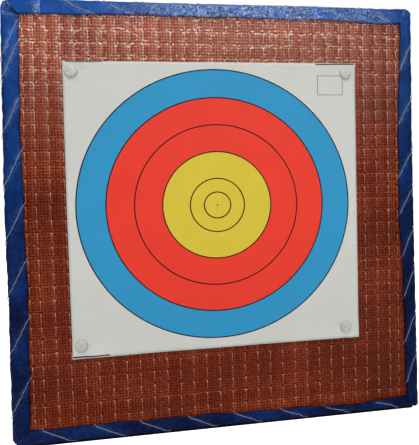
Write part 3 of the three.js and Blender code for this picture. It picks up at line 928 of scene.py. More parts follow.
lacing = {
    "inset": 0.027,              # of the holes, inside the outer edge
    "cordRadius": 0.0006,
    "holeRadius": 0.0010,
    "threadRadius": 0.0006,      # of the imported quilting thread, which the holes keep clear of
    "gap": 0.0003,
    "edgeAdvanceShare": 0.45,
    "wallAdvanceShare": 0.4,
    "tailLength": 0.024,
    "routeSteps": (6, 8, 9, 8, 6),       # points of the route on each stretch of a stitch
    "room": 0.0001,              # between the cord and the sheeting
    "startOut": 0.0030,          # how far the cord's first point, in its knot, stands off the back
    "dive": 0.002,               # how deep in each hole the cord's next point lies
    "spacing": 0.0011,           # between the rings of the twisted twine
    "strands": 2,
    "strandDepth": 0.45,
    "twistPitch": 0.0072,
    "valley": 0.0007,            # how deep a cord presses into the sheeting
    "sunkValley": 0.0016,
    "valleySpread": 0.0019,
    "rippleDepth": 0.00032,
    "rippleLength": 0.0062,
    "rippleReach": 0.0085,
    "rippleStart": 0.003,        # from the cord, where the ripples have their full height
    "knotRadius": 0.0020,
}
laceSides = [
    {"name": "left", "corner": (-bossWidth / 2, bossHeight), "along": (0, -1), "inward": (1, 0),
     "length": bossHeight, "advance": 0.043, "tailShare": 0.938,
     "stitchShares": [0.0435, 0.092, 0.211, 0.328, 0.447, 0.571, 0.703, 0.84],
     "hem": ((0.05, 0.17, 0.36, 0.54, 0.77, 0.88, 0.96),
             (27.2, 23.4, 23.4, 22.8, 21.4, 19, 18.5)),
     "edge": ((0.0, 0.15, 0.35, 0.54, 0.7, 0.85, 1.0),
              (3.8, 0.6, -2.5, -4.2, -4.6, -6.0, -7.2))},
    {"name": "bottom", "corner": (-bossWidth / 2, 0), "along": (1, 0), "inward": (0, 1),
     "length": bossWidth, "advance": 0.035, "tailShare": 0.944, "sunk": True, "crossesRows": True,
     "stitchShares": [0.063, 0.18, 0.283, 0.396, 0.507, 0.623, 0.735, 0.868],
     "hem": ((0.05, 0.15, 0.3, 0.43, 0.58, 0.7, 0.78, 0.86, 0.93),
             (23.3, 21.7, 20.9, 21, 19, 16.5, 13.8, 14.7, 18.2)),
     "edge": ((0.0, 1.0), (0, 0))},
    {"name": "right", "corner": (bossWidth / 2, 0), "along": (0, 1), "inward": (-1, 0),
     "length": bossHeight, "advance": 0.035, "tailShare": 0.935,
     "stitchShares": [0.073, 0.175, 0.289, 0.39, 0.494, 0.585, 0.713, 0.843],
     "hem": ((0.04, 0.09, 0.15, 0.275, 0.385, 0.46, 0.555, 0.68, 0.77, 0.865, 0.93),
             (11.6, 13.2, 15.6, 15.5, 16.8, 21.2, 22.2, 23.2, 21.7, 19.5, 17.1)),
     "edge": ((0.0, 0.08, 0.15, 0.31, 0.46, 0.62, 0.77, 0.9, 1.0),
              (-7.2, -7.2, -6.2, -5.0, -3.1, -2.2, -1.5, -1.1, -1.2))},
    {"name": "top", "corner": (bossWidth / 2, bossHeight), "along": (-1, 0), "inward": (0, -1),
     "length": bossWidth, "advance": 0.032, "tailShare": 0.882, "crossesRows": True,
     "stitchShares": [0.0656, 0.163, 0.259, 0.359, 0.4745, 0.607, 0.695, 0.786],
     "hem": ((0.036, 0.1, 0.2, 0.33, 0.5, 0.6, 0.67, 0.83, 0.95),
             (26.1, 26.2, 24.8, 23.5, 22.6, 21.5, 21.8, 23.6, 25.5)),
     "edge": ((0.0, 0.17, 0.33, 0.5, 0.65, 0.8, 1.0),
              (5.0, 3.6, 2.9, 4.0, 3.4, 3.6, 4.0))},
]


def settle(side, run):
    # a hole goes in beside a row of stitches, never through its thread
    if not side.get("crossesRows"):
        return run
    start, heading = side["corner"][0], side["along"][0]
    x = start + heading * run
    clear = lacing["holeRadius"] + lacing["threadRadius"] + 2 * lacing["gap"]
    for row in rowXs:
        if abs(x - row) < clear:
            x = row + (-clear if x < row else clear)
    return (x - start) * heading


for side in laceSides:
    side["holes"] = [settle(side, share * side["length"])
                     for share in side["stitchShares"] + [side["tailShare"]]]


# Rim wrap. It is measured along its run round the rim and across its width, from the front hem
# over both rounded edges to the back hem

wrap = {
    "thickness": 0.0028,         # of the folded sheeting with the hem turned under
    "edgeRadius": 0.009,
    "wallPush": 0.0014,          # the most that a side may give before it meets the plies
    "cornerRadii": (0.014, 0.006, 0.008, 0.014),     # bottom left, bottom right, top right, top left
    # folds of the same corners, as angles seen from the hem's corner (0 along the side before and
    # 1 along the side after) with their depths
    "cornerFolds": ([(0.30, 0.5), (0.52, 0.8), (0.8, 0.4)],
                    [(0.22, 0.4), (0.5, 0.7), (0.66, 0.3)],
                    [(0.45, 0.25), (0.79, 1.0)],
                    [(0.28, 0.8), (0.46, 1.9), (0.62, 0.7), (0.84, 0.9)]),
    "foldDepth": 0.001,
    "foldWidth": 0.022,
    "ridgeShare": 0.55,          # of the fold's depth, in the ridge beside it
    "ridgeOffset": 0.06,
    "ridgeWidth": 0.03,
    "foldStep": 0.0009,
    "hemCornerRadius": 0.0012,
    "straightFrom": 0.030,       # the corner's fan of folds ends here
    "runStep": 0.0032,
    "arcStations": 26,
    "fanStations": 5,
    "bandSteps": 9,
    "edgeSteps": 7,
    "wallSteps": 20,
    "innerSteps": 18,
    "hemDrop": 0.0040,
    "hemReach": 0.0011,
    "hemTurns": ((1.0, 0.35), (0.75, 0.85), (0.42, 1.0), (0.14, 0.7)),     # shares of drop and reach
    "hemWander": 0.0006875,
    "hemWaves": ((7, 1, 1.0), (19, 4, 1.0), (43, 2, 0.7)),       # turns, start and share of each
    "slack": 0.0006,
    "wallSlack": 0.0010,
    "lapStart": 0.0545,          # the end of the top layer, from the left side
    "lapLength": 0.022,
    "lapStep": 0.0005,
    "glare": [(0.5, 0.12, 1.3), (0.36, 0.08, 1.2), (0.14, 0.05, 0.6)],     # painted highlights of glare on the top band, as share of the run, spread and strength
    "cordWear": 0.4,             # it is rubbed beside the cords and at the lap's end, and a highlight is painted beside each fold
    "cordWearSpread": 0.0028,
    "foldGlint": 0.6,
    "foldGlintOffset": 0.05,
    "foldGlintSpread": 0.03,
    "lapWear": 1.6,
    "lapWearSpread": 0.0045,
    "bottomShade": 0.9,
    "sideShade": 0.3,
    "arcShade": 0.5,            # along the rounded edges of both sides
    "shadeFadeHeight": 0.07,            # the sides' painted shade fades out over this height
    "seed": 71,
}
edgeRadius = wrap["edgeRadius"]
flatWidth = quilt["bandWidth"] - edgeRadius
arcWidth = math.pi / 2 * edgeRadius
arcEnd = flatWidth + arcWidth
wrapWidth = 2 * arcEnd + 2 * (outerDepth - edgeRadius)


def rimShift(x, z, inset, y):
    # how the front of the rim departs from a true rectangle: its sides' own shifts, blended
    # across. The back is true, and on the walls the plies stop what would push inwards
    pulls = []
    forward = ease(0.5 - y / (2 * (outerDepth - edgeRadius)))
    atArc = ease((-y - plyFront) / (outerDepth - 0.6 * edgeRadius - plyFront))
    onBand = np.clip((inset - edgeRadius) / flatWidth, 0, 1.5)
    for side in laceSides:
        (cornerX, cornerZ), (alongX, alongZ) = side["corner"], side["along"]
        share = ((x - cornerX) * alongX + (z - cornerZ) * alongZ) / side["length"]
        edge, hem = (np.interp(share, *side[part]) / 1000 for part in ("edge", "hem"))
        wall = np.minimum(edge, wrap["wallPush"])
        bandPull = onBand * (hem - quilt["bandWidth"] - edge)
        pulls.append((wall + bandPull) * forward + (edge - wall) * atArc)
    left, bottom, right, top = pulls
    shareX, shareZ = np.clip(x / bossWidth + 0.5, 0, 1), np.clip(z / bossHeight, 0, 1)
    return left * (1 - shareX) - right * shareX, bottom * (1 - shareZ) - top * shareZ


def sidePoint(side, run, inset, y):
    (cornerX, cornerZ), (alongX, alongZ), (inX, inZ) = side["corner"], side["along"], side["inward"]
    return (cornerX + alongX * run + inX * inset, y, cornerZ + alongZ * run + inZ * inset)


def wrapSection(t):
    # inset, depth and outward slope (0 faces the front or back, 1 faces outward) at width t
    facing = -1 if t < wrapWidth / 2 else 1
    t = min(t, wrapWidth - t)
    if t <= flatWidth:
        return quilt["bandWidth"] - t, facing * outerDepth, facing, 0.0
    if t <= arcEnd:
        angle = (t - flatWidth) / edgeRadius
        depth = outerDepth - edgeRadius + edgeRadius * math.cos(angle)
        return edgeRadius - edgeRadius * math.sin(angle), facing * depth, facing, angle
    return 0.0, facing * (outerDepth - edgeRadius - (t - arcEnd)), facing, math.pi / 2


def stitchTurns(side, run, after):
    # where one stitch of the lacing is on the wrap at each turn, as run and width
    past = (lacing["inset"] - quilt["bandWidth"]) / (lacing["inset"] - edgeRadius)
    front = run + side["advance"]
    wall = front + side["advance"] * lacing["edgeAdvanceShare"]
    back = wall + (after - wall) * lacing["wallAdvanceShare"]
    return [(run + side["advance"] * past, 0), (front, flatWidth), (wall, arcEnd),
            (back, wrapWidth - arcEnd), (back, wrapWidth - flatWidth),
            (after - (after - back) * past, wrapWidth)]


def distanceToPasses(side, run, width):
    nearest = np.full(np.broadcast(run, width).shape, 1.0)
    for start, after in zip(side["holes"], side["holes"][1:]):
        turns = stitchTurns(side, start, after)
        for (runA, widthA), (runB, widthB) in zip(turns, turns[1:]):
            dRun, dWidth = runB - runA, widthB - widthA
            share = ((run - runA) * dRun + (width - widthA) * dWidth) / (dRun ** 2 + dWidth ** 2)
            share = np.clip(share, 0, 1)
            away = np.hypot(run - runA - share * dRun, width - widthA - share * dWidth)
            nearest = np.minimum(nearest, away)
    return nearest


def pressedIn(side, run, width):
    # how far the wrap sinks under the cord, and the ripples beside it
    away = distanceToPasses(side, run, width)
    deep = lacing["valley"]
    if side.get("sunk"):
        onWall = ease((np.minimum(width, wrapWidth - width) - flatWidth) / (arcWidth * 0.4))
        deep = deep + (lacing["sunkValley"] - deep) * onWall
    ripple = lacing["rippleDepth"] * np.cos(2 * np.pi * away / lacing["rippleLength"])
    ripple = ripple * bell(away, lacing["rippleReach"]) * ease(away / lacing["rippleStart"])
    return deep * bell(away, lacing["valleySpread"]) - ripple


def sideRuns(side):
    first, last = wrap["straightFrom"], side["length"] - wrap["straightFrom"]
    runs = list(np.linspace(first, last, int((last - first) / wrap["runStep"]) + 1))
    if side["name"] == "top":
        # two stations close together make the step where the lap ends
        end = side["length"] - wrap["lapStart"]
        runs = [r for r in runs if abs(r - end) > 0.0012] + [end - 0.0002, end + 0.0003]
    return sorted(runs)


def widthStations():
    half = list(np.linspace(0, flatWidth, wrap["bandSteps"]))
    half += list(np.linspace(flatWidth, arcEnd, wrap["edgeSteps"])[1:])
    wall = np.linspace(arcEnd, wrapWidth - arcEnd, wrap["wallSteps"])[1:-1]
    return half + list(wall) + [wrapWidth - t for t in reversed(half)]


def ringAt(inset):
    # points and outward directions round the rim at one inset, in the order of stationKeys
    places, outwards = [], []
    for number, side in enumerate(laceSides):
        after, length = laceSides[(number + 1) % 4], side["length"]
        outer, fan = wrap["cornerRadii"][number], wrap["fanStations"] + 1
        radius = outer + (wrap["hemCornerRadius"] - outer) * min(inset / quilt["bandWidth"], 1)
        inA, inB = np.array(side["inward"], float), np.array(after["inward"], float)
        before = np.linspace(length - wrap["straightFrom"], length - inset - radius, fan)[1:]
        near = sideRuns(side) + list(before)
        places += [sidePoint(side, run, inset, 0)[::2] for run in near]
        outwards += [-inA] * len(near)
        middle = np.array(sidePoint(side, length - inset - radius, inset + radius, 0)[::2])
        for angle in np.linspace(0, np.pi / 2, wrap["arcStations"] + 1)[1:-1]:
            out = -inA * math.cos(angle) - inB * math.sin(angle)
            places.append(middle + radius * out)
            outwards.append(out)
        beyond = np.linspace(inset + radius, wrap["straightFrom"], fan)[:-1]
        places += [sidePoint(after, run, inset, 0)[::2] for run in beyond]
        outwards += [-inB] * len(beyond)
    return np.array(places), np.array(outwards)


def stationKeys():
    # for each station: its side, its run, and its share of the way round a corner (or -1)
    keys = []
    for number, side in enumerate(laceSides):
        keys += [(number, run, -1.0) for run in sideRuns(side)]
        count = 2 * wrap["fanStations"] + wrap["arcStations"] - 1
        keys += [(number, side["length"], (k + 1) / (count + 1)) for k in range(count)]
    return np.array(keys)


def surfaceRing(width):
    # the smooth surface of the wrap at one width, before anything presses or lifts it
    inset, depth, facing, slope = wrapSection(width)
    flat, out = ringAt(inset)
    ones = np.ones(len(flat))
    shiftX, shiftZ = rimShift(flat[:, 0], flat[:, 1], inset, depth)
    points = np.column_stack([flat[:, 0] + shiftX, depth * ones, flat[:, 1] + shiftZ])
    normals = np.column_stack([out[:, 0] * math.sin(slope), facing * math.cos(slope) * ones,
                               out[:, 1] * math.sin(slope)])
    return inset, slope, flat, out, points, normals


def hemWander(keys):
    # how the hem strays from its line; at the middle of a corner it stays put
    around = np.linspace(0, 2 * np.pi, len(keys), endpoint=False)
    waves = sum(share * np.sin(turns * around + start) for turns, start, share in wrap["hemWaves"])
    return wrap["hemWander"] * waves * np.where(keys[:, 2] < 0, 1, np.abs(2 * keys[:, 2] - 1))


def cornerLift(folds, share, width):
    # folds that fan out from the hem's corner, and the step where one layer lies on the next
    total = np.zeros(len(share))
    fromHem = min(width, wrapWidth - width) / flatWidth
    size = (ease(fromHem / 0.6) * 0.8 + 0.2) * (1 - 0.7 * ease((fromHem - 0.4) / 0.5))
    for middle, depth in folds:
        ridge = wrap["ridgeShare"] * bell(share - middle - wrap["ridgeOffset"], wrap["ridgeWidth"])
        total = total - wrap["foldDepth"] * depth * (bell(share - middle, wrap["foldWidth"]) - ridge) * size
    main = max(folds, key=lambda fold: fold[1])[0]
    step = (share > main + 0.01) * (1 - ease((share - main) / 0.5))
    return total + wrap["foldStep"] * step


def wrapRing(width, keys, wander):
    # one ring of the wrap's outside as it lies, with its worn and rubbed marks, its painted glare and
    # highlights, and its painted shade
    inset, slope, flat, out, points, normals = surfaceRing(width)
    number, run, share = keys.T
    hemShare = max(0.0, (inset - edgeRadius) / flatWidth)
    nearHem = float(ease(inset / quilt["bandWidth"]))
    lift, glareAndWear, paintedShade = np.zeros((3, len(keys)))
    for k, side in enumerate(laceSides):
        straight, bend = (number == k) & (share < 0), (number == k) & (share >= 0)
        lift[straight] -= pressedIn(side, run[straight], width)
        away = distanceToPasses(side, run[straight], width)
        glareAndWear[straight] += wrap["cordWear"] * bell(away, wrap["cordWearSpread"])
        folds = wrap["cornerFolds"][k]
        lift[bend] += cornerLift(folds, share[bend], width)
        for middle, depth in folds:
            # a highlight is painted beside each fold
            beside = share[bend] - middle - wrap["foldGlintOffset"]
            glareAndWear[bend] += wrap["foldGlint"] * depth * bell(beside, wrap["foldGlintSpread"])
            # painted shade in each fold, darkest near the hem
            spread = 0.014 + (0.016 + 0.02 * nearHem) * depth
            paintedShade[bend] += (0.12 + 0.7 * nearHem) * depth * bell(share[bend] - middle, spread)
    onTop = (number == 3) & (share < 0)
    fromEnd = (bossWidth - wrap["lapStart"] - run)[onTop]
    lapped = (fromEnd < 0) & (fromEnd > -wrap["lapLength"] * 1.2)
    lift[onTop] += wrap["lapStep"] * lapped * (1 - ease(-fromEnd / wrap["lapLength"] - 0.2))
    glareAndWear[onTop] += wrap["lapWear"] * (fromEnd < 0) * bell(fromEnd, wrap["lapWearSpread"])
    # painted glare on the top band
    if width < arcEnd:
        for middle, spread, strength in wrap["glare"]:
            glareAndWear[onTop] += strength * bell(run[onTop] / bossWidth - middle, spread)
    # painted shade on the walls: most under the boss, and on the sides up to near the top
    turned = (min(width, wrapWidth - width) - flatWidth) / arcWidth
    onWall, onArc = ease(turned / 0.7), bell(turned - 0.75, 0.35)
    belowTop = ease((bossHeight - flat[:, 1]) / wrap["shadeFadeHeight"])
    paintedShade += wrap["bottomShade"] * onWall * np.maximum(0, -out[:, 1])
    paintedShade += (wrap["sideShade"] * onWall + wrap["arcShade"] * onArc) * np.abs(out[:, 0]) * belowTop
    around = np.arange(len(keys)) * wrap["runStep"]
    slack = wrap["slack"] + (wrap["wallSlack"] - wrap["slack"]) * math.sin(slope)
    lift -= slack * (0.5 + 0.35 * softNoise(around, width, 0.05, wrap["seed"])
                     + 0.22 * softNoise(around, width * 0.5, 0.016, wrap["seed"] + 1))
    points[:, [0, 2]] -= out * (wander * hemShare)[:, None]
    return points + normals * lift[:, None], glareAndWear, paintedShade


def makeWrap():
    keys = stationKeys()
    wander = hemWander(keys)
    points, glaresAndWears, paintedShades = map(list, zip(*(wrapRing(width, keys, wander) for width in widthStations())))
    _, out = ringAt(quilt["bandWidth"])

    def hemRing(edge, drop, reach):
        # the folded edge turns from the band towards the cloth
        ring = edge.copy()
        ring[:, [0, 2]] -= out * (wrap["hemReach"] * reach)
        ring[:, 1] -= np.sign(ring[:, 1]) * wrap["hemDrop"] * drop
        return ring

    turns = wrap["hemTurns"]
    rings = [hemRing(points[0], *turn) for turn in turns] + points
    rings += [hemRing(points[-1], *turn) for turn in reversed(turns)]
    for width in np.linspace(wrapWidth - 0.001, 0.001, wrap["innerSteps"]):
        *_, surface, normals = surfaceRing(width)
        rings.append(surface - normals * wrap["thickness"])
    stack = np.stack(rings)
    stack[:, :, 2] = np.maximum(stack[:, :, 2], rimLow.z)        # pressed flat where the boss stands
    faces = gridFaces(len(rings), len(keys), closeRows=True, closeColumns=True)
    mesh = meshFrom("rim_wrap_sheeting", stack.reshape(-1, 3), faces)
    bare = [np.zeros(len(keys))] * wrap["innerSteps"]
    for name, values, most in (("glareAndWear", glaresAndWears, 1), ("paintedShade", paintedShades, 0.9)):
        onRings = [values[0]] * len(turns) + values + [values[-1]] * len(turns) + bare
        addValues(mesh, name, np.clip(np.stack(onRings), 0, most).ravel())
    piece = newPiece("rim_wrap_sheeting", faceOut(mesh), wrapMaterial)
    declare(piece, "mat", "rim_wrap")


makeWrap()
print("rim wrap made")


# Twine

def rimStretch(side, start, stop, widths):
    # points of the cord over the wrap, at its own height over the pressed-in sheeting
    points = []
    for share, width in zip(np.linspace(0, 1, len(widths)), widths):
        run = start + (stop - start) * share
        inset, depth, facing, slope = wrapSection(width)
        sink = float(pressedIn(side, np.array([run]), width)[0])
        lift = lacing["cordRadius"] + lacing["room"] - sink
        x, _, z = sidePoint(side, run, inset, 0)
        shiftX, shiftZ = rimShift(x, z, inset, depth)
        x, y, z = sidePoint(side, run, inset - lift * math.sin(slope),
                            depth + facing * lift * math.cos(slope))
        points.append((x + shiftX, y, max(z + shiftZ, lacing["cordRadius"])))
    return points


def holePoint(side, run, y):
    x, _, z = sidePoint(side, run, lacing["inset"], y)
    shiftX, shiftZ = rimShift(x, z, lacing["inset"], y)
    return x + shiftX, y, z + shiftZ


def twineRoute(side):
    overCover = crownDepth + lacing["cordRadius"] + lacing["gap"]
    route = [holePoint(side, side["holes"][0], crownDepth + lacing["startOut"])]
    for run, after in zip(side["holes"], side["holes"][1:]):
        route.append(holePoint(side, run, lacing["dive"] - overCover))
        turns = stitchTurns(side, run, after)
        for (runA, widthA), (runB, widthB), count in zip(turns, turns[1:], lacing["routeSteps"]):
            stretch = rimStretch(side, runA, runB, np.linspace(widthA, widthB, count))
            route += stretch[1:] if widthA else stretch
        route.append(holePoint(side, after, overCover - lacing["dive"]))
    route.append(holePoint(side, side["holes"][-1], crownDepth - lacing["tailLength"]))
    return np.array(route)


def makeTwineTree():
    tree, entry = newTree("twisted_twine", ["Strands"], ["Radius", "Spacing", "Strand Depth", "Twist Pitch"])
    curve = put(tree, "GeometryNodeMeshToCurve", {"Mesh": entry["Geometry"]})
    fine = put(tree, "GeometryNodeResampleCurve", {"Curve": curve, "Length": entry["Spacing"]}, mode="LENGTH")
    run = Value(addNode(tree, "GeometryNodeSplineParameter").outputs["Length"])
    twisted = put(tree, "GeometryNodeSetCurveTilt", {
        "Curve": fine, "Tilt": run * (2 * math.pi) / entry["Twist Pitch"]})
    ring = put(tree, "GeometryNodeCurvePrimitiveCircle", {
        "Resolution": entry["Strands"] * 4.0, "Radius": entry["Radius"]})
    share = put(tree, "GeometryNodeSplineParameter")
    lobes = calc("COSINE", share * (2 * math.pi) * entry["Strands"])
    offset = put(tree, "ShaderNodeVectorMath", {
        0: put(tree, "GeometryNodeInputPosition"),
        "Scale": (lobes - 1.0) * (entry["Strand Depth"] * 0.5)}, operation="SCALE")
    marked = stored(ring, "crown", (lobes + 1.0) * 0.5)
    lobed = put(tree, "GeometryNodeSetPosition", {"Geometry": marked, "Offset": offset})
    body = put(tree, "GeometryNodeCurveToMesh", {
        "Curve": twisted, "Profile Curve": lobed, "Fill Caps": True})
    return endTree(tree, body, entry["Material"])


def makeTwine(side, tree):
    route = twineRoute(side)
    base = bpy.data.meshes.new("twine_route")
    base.from_pydata(route.tolist(), [(k, k + 1) for k in range(len(route) - 1)], [])
    name = side["name"] + "_lacing_twine"
    twine = growPiece(name, tree, {
        "Radius": lacing["cordRadius"], "Spacing": lacing["spacing"], "Strands": lacing["strands"],
        "Strand Depth": lacing["strandDepth"], "Twist Pitch": lacing["twistPitch"],
        "Material": twineMaterial}, base)
    declare(twine, "mat", side["name"] + "_lacing_cord")
    print(name, round(float(np.linalg.norm(np.diff(route, axis=0), axis=1).sum()), 3), "m")


def makeKnot(side):
    # an overhand knot drawn down on the back cover where the cord starts
    turn = np.linspace(0, 2 * np.pi, 61)[:-1]
    angle = np.linspace(0, 2 * np.pi, 8)[:-1]
    size = lacing["knotRadius"] * 0.42
    path = np.stack([np.sin(turn) + 2 * np.sin(2 * turn), -np.sin(3 * turn) * 0.9,
                     np.cos(turn) - 2 * np.cos(2 * turn)], 1) * size
    ahead = np.roll(path, -1, 0) - np.roll(path, 1, 0)
    ahead /= np.linalg.norm(ahead, axis=1)[:, None]
    across = np.cross(ahead, (0.3, 0.2, 0.9))
    across /= np.linalg.norm(across, axis=1)[:, None]
    up = np.cross(across, ahead)
    tube = (path[:, None] + 0.85 * lacing["cordRadius"]
            * (across[:, None] * np.cos(angle)[None, :, None] + up[:, None] * np.sin(angle)[None, :, None]))
    middle = np.array(holePoint(side, side["holes"][0], crownDepth + lacing["knotRadius"]))
    faces = gridFaces(len(turn), len(angle), closeRows=True, closeColumns=True)
    mesh = meshFrom("knot", (tube + middle).reshape(-1, 3), faces)
    # painted like the twine: shade between two strands, pale crowns
    addValues(mesh, "crown", np.tile(0.5 + 0.5 * np.cos(2 * angle), len(path)))
    knot = newPiece(side["name"] + "_lacing_knot", faceOut(mesh), twineMaterial)
    declare(knot, "mat")


twineTree = makeTwineTree()
for side in laceSides:
    makeTwine(side, twineTree)
    makeKnot(side)
print("lacing made")


# Ring face: a thin sheet that lies on the channels, pressed down at its pins and lifted a
# little along its free edges

faceSheet = {
    "thickness": 0.0003,
    "step": 0.0038,
    "edgeRoom": 0.0002,
    "sag": 0.00025,
    "curl": 0.0026,
    "curlReaches": (0.12, 0.075, 0.035, 0.03),   # in from the left, right, bottom and top edge
    "cornerCurls": {"top right": 0.8, "bottom left": 0.9, "bottom right": 0.7, "top left": 0.35},
    "topWave": 0.0006,
    "bottomWave": 0.0007,
    "pressReach": 0.014,         # of the flat place round each pin
    "creaseDepth": 0.0005,       # of the creases that run out from each pin
    "creasePlace": 0.016,
    "creaseSpread": 0.007,
    "follow": 0.06,              # share of the channels' height that shows through the sheet
    "seed": 44,
}
pinNames = ["top_left", "top_right", "bottom_left", "bottom_right"]


def pinMiddle(name):
    low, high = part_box("face_pin_" + name)
    return (low.x + high.x) / 2, (low.z + high.z) / 2


def sheetLift(x, z):
    # how far the sheet stands off the channels
    fromEdges = (x - faceLow.x, faceHigh.x - x, z - faceLow.z, faceHigh.z - z)
    edges = (ease(1 - away / reach) for away, reach in zip(fromEdges, faceSheet["curlReaches"]))
    near = dict(zip(("left", "right", "bottom", "top"), edges))
    lift = np.zeros(x.shape)
    for corner, curl in faceSheet["cornerCurls"].items():
        level, upright = corner.split()
        lift = lift + faceSheet["curl"] * curl * near[level] * near[upright]
    for away, wave, turns, start in ((fromEdges[3], "topWave", 60, 1), (fromEdges[2], "bottomWave", 45, 2)):
        lift = lift + faceSheet[wave] * ease(1 - away / 0.02) * (0.5 + 0.5 * np.sin(x * turns + start))
    press = np.zeros_like(lift)
    for name in pinNames:
        pinX, pinZ = pinMiddle(name)
        away = np.hypot(x - pinX, z - pinZ)
        press = np.maximum(press, ease(1.6 - away / faceSheet["pressReach"]))
        swirl = np.sin(np.arctan2(z - pinZ, x - pinX) * 5 + pinX * 40)
        ring = bell(away - faceSheet["creasePlace"], faceSheet["creaseSpread"])
        lift = lift + faceSheet["creaseDepth"] * swirl * ring
    sag = faceSheet["sag"] * (1 + 0.6 * softNoise(x, z, 0.07, faceSheet["seed"]))
    follow = faceSheet["follow"] * (quiltDepth(x, z) - rowDepth)
    return np.maximum((lift + sag + follow) * (1 - press), 0)


def makeSheet():
    width, height = faceHigh.x - faceLow.x, faceHigh.z - faceLow.z
    xs = np.linspace(faceLow.x, faceHigh.x, int(width / faceSheet["step"]) + 1)
    zs = np.linspace(faceLow.z, faceHigh.z, int(height / faceSheet["step"]) + 1)
    back = -faceHigh.y + faceSheet["edgeRoom"]
    sheet = slabPiece("ring_face_sheet", xs, zs,
                      lambda x, z: back + sheetLift(x, z) + faceSheet["thickness"],
                      lambda x, z: back + sheetLift(x, z), sheetMaterial)
    declare(sheet, "face", "target_face")


makeSheet()
print("ring face made")


# Push pins: a round, slightly domed head with a soft rim and a pointed shank

pin = {
    "segments": 48,
    "headHeight": 0.004,
    "rimHeight": 0.0012,
    "rimRound": 0.0009,
    "dishRadiusShare": 0.62,
    "dishDepth": 0.00025,
    "gateRadius": 0.0011,
    "gateDepth": 0.00015,
    "shankRadius": 0.0020,
    "pointLength": 0.007,
    "pointRadius": 0.0003,
}


def pinOutline(radius, length):
    # radius and distance from the head's underside, outwards positive
    height, rimHeight, shank = pin["headHeight"], pin["rimHeight"], pin["shankRadius"]
    outline = [(0, -length), (pin["pointRadius"], -length),
               (shank * 0.7, -length + pin["pointLength"] * 0.6), (shank, -length + pin["pointLength"])]
    outline += [(shank, -length * share) for share in (0.7, 0.45, 0.2, 0.05)]
    outline += [(shank * 1.05, 0.0), (radius * 0.5, 0.0), (radius - pin["rimRound"], 0.0)]
    for k in range(1, 6):
        angle = math.pi / 2 * k / 6
        reach = radius - pin["rimRound"] * (1 - math.sin(angle))
        outline.append((reach, rimHeight * 0.5 * (1 - math.cos(angle))))
    outline.append((radius, rimHeight * 0.6))
    for k in range(1, 15):
        reach = radius * math.cos(math.pi / 2 * (k / 14) ** 1.15)
        rise = rimHeight * 0.6 + (height - rimHeight * 0.6) * (1 - (reach / radius) ** 4) ** 0.5
        ring = pin["dishDepth"] * math.exp(-((reach / radius - pin["dishRadiusShare"]) / 0.05) ** 2)
        outline.append((reach, rise - ring))
    outline[-1:] = [(pin["gateRadius"], height), (pin["gateRadius"] * 0.8, height - pin["gateDepth"]),
                    (0, height - pin["gateDepth"])]
    return outline


def makePin(name):
    low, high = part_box("face_pin_" + name)
    middleX, middleZ = pinMiddle(name)
    under = low.y + pin["headHeight"]
    outline = pinOutline((high.x - low.x) / 2, high.y - under)
    middle = [(radius, out) for radius, out in outline if radius > 0]
    angle = np.linspace(0, 2 * np.pi, pin["segments"], endpoint=False)
    points = [(middleX + radius * math.cos(a), under - out, middleZ + radius * math.sin(a))
              for radius, out in middle for a in angle]
    faces = gridFaces(len(middle), len(angle), closeColumns=True).tolist()
    tip, crown = len(points), len(points) + 1
    points += [(middleX, under - outline[0][1], middleZ), (middleX, under - outline[-1][1], middleZ)]
    last = (len(middle) - 1) * len(angle)
    for k in range(len(angle)):
        after = (k + 1) % len(angle)
        faces += [(tip, k, after), (crown, last + after, last + k)]
    mesh = meshFrom("push_pin_" + name, points, faces)
    piece = newPiece("push_pin_" + name, faceOut(mesh), pinMaterial)
    declare(piece, "pin_" + name, "face_pin_" + name)


for name in pinNames:
    makePin(name)
print("pins made")


# The pressed core keeps its packed plies

for number in range(1, 5):
    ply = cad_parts["core_ply_%d" % number]
    ply.data.materials.clear()
    ply.data.materials.append(coreMaterial)
print("core plies dressed")


# Studio: a pale floor with a painted contact shadow under the boss, a white surround for the camera, a wide
# soft light above the camera, and soft lights in front and behind

studio = {
    "floorColour": (0.80, 0.80, 0.80),
    "floorSize": 14.0,
    "contactShadowColour": (0.012, 0.014, 0.024),
    "contactInset": 0.0062,      # of the floor's painted contact shadow, from the boss's outline
    "contactReach": 0.003,
    "surroundLight": 0.16,
    "glossyLight": 0.05,         # of the surround in reflections
    "lights": {                  # place, size and power
        "front_light": ((0.30, -2.90, 1.45), (1.5, 1.5), 47.0),
        "top_light": ((-0.10, -0.75, 1.75), (1.5, 0.35), 12.0),
        "back_light": ((-0.40, 2.90, 1.30), (1.5, 1.5), 36.0),
    },
}


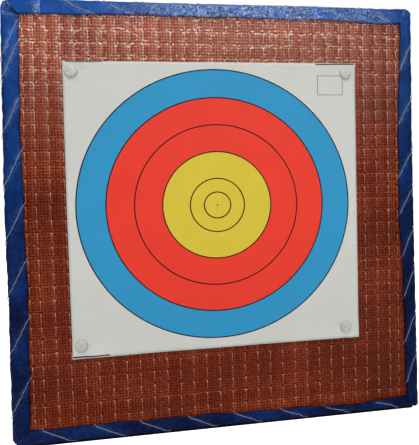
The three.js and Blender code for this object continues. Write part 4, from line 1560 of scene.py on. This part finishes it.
def rayKinds(tree):
    # 1 for rays that come straight from the camera, and 1 for reflections
    ray = addNode(tree, "ShaderNodeLightPath").outputs
    seen = calc("MAXIMUM", Value(ray["Is Camera Ray"]), Value(ray["Is Transmission Ray"]))
    return seen, Value(ray["Is Glossy Ray"])


def makeFloor():
    half, height = studio["floorSize"] / 2, rimLow.z - 0.0002
    corners = [(-half, -half, height), (half, -half, height), (half, half, height), (-half, half, height)]
    mesh = meshFrom("studio_floor", corners, [(0, 1, 2, 3)], smooth=False)
    material, inputs, spot = newMaterial("pale_floor", Roughness=0.9, Specular_IOR_Level=0.0)
    x, y, _ = separate(spot)
    # painted contact shadow: the floor is near black just round the boss's footprint
    overX = calc("MAXIMUM", abs(x) - (bossWidth / 2 - studio["contactInset"]), 0.0)
    overY = calc("MAXIMUM", abs(y) - (outerDepth - studio["contactInset"]), 0.0)
    away = calc("SQRT", overX * overX + overY * overY) / studio["contactReach"]
    clear = calc("GREATER_THAN", away + noise(spot, 40.0) * 0.2, 1.1)
    plug(inputs["Base Color"], blend(clear, studio["contactShadowColour"], studio["floorColour"]))
    seen, _ = rayKinds(treeOf(spot))
    plug(inputs["Emission Strength"], seen * clear)
    inputs["Emission Color"].default_value = (1, 1, 1, 1)
    newPiece("studio_floor", mesh, material)


def makeWorld():
    world = bpy.data.worlds.new("studio")
    world.use_nodes = True
    bpy.context.scene.world = world
    background = world.node_tree.nodes["Background"].inputs
    seen, glossy = rayKinds(world.node_tree)
    dim = remap(glossy, 0.0, 1.0, studio["surroundLight"], studio["glossyLight"])
    background["Color"].default_value = (1, 1, 1, 1)
    plug(background["Strength"], remap(seen, 0.0, 1.0, dim, 1.0))


def makeLight(name, place, size, power):
    light = bpy.data.lights.new(name, "AREA")
    light.energy = power
    light.shape = "RECTANGLE"
    light.size, light.size_y = size
    lamp = newPiece(name, light)
    lamp.location = place
    aim = Vector((0, 0, bossHeight / 2)) - Vector(place)
    lamp.rotation_euler = aim.to_track_quat("-Z", "Y").to_euler()


makeFloor()
makeWorld()
for name, (place, size, power) in studio["lights"].items():
    makeLight(name, place, size, power)
bpy.context.scene.view_settings.view_transform = "Standard"
print("studio made")
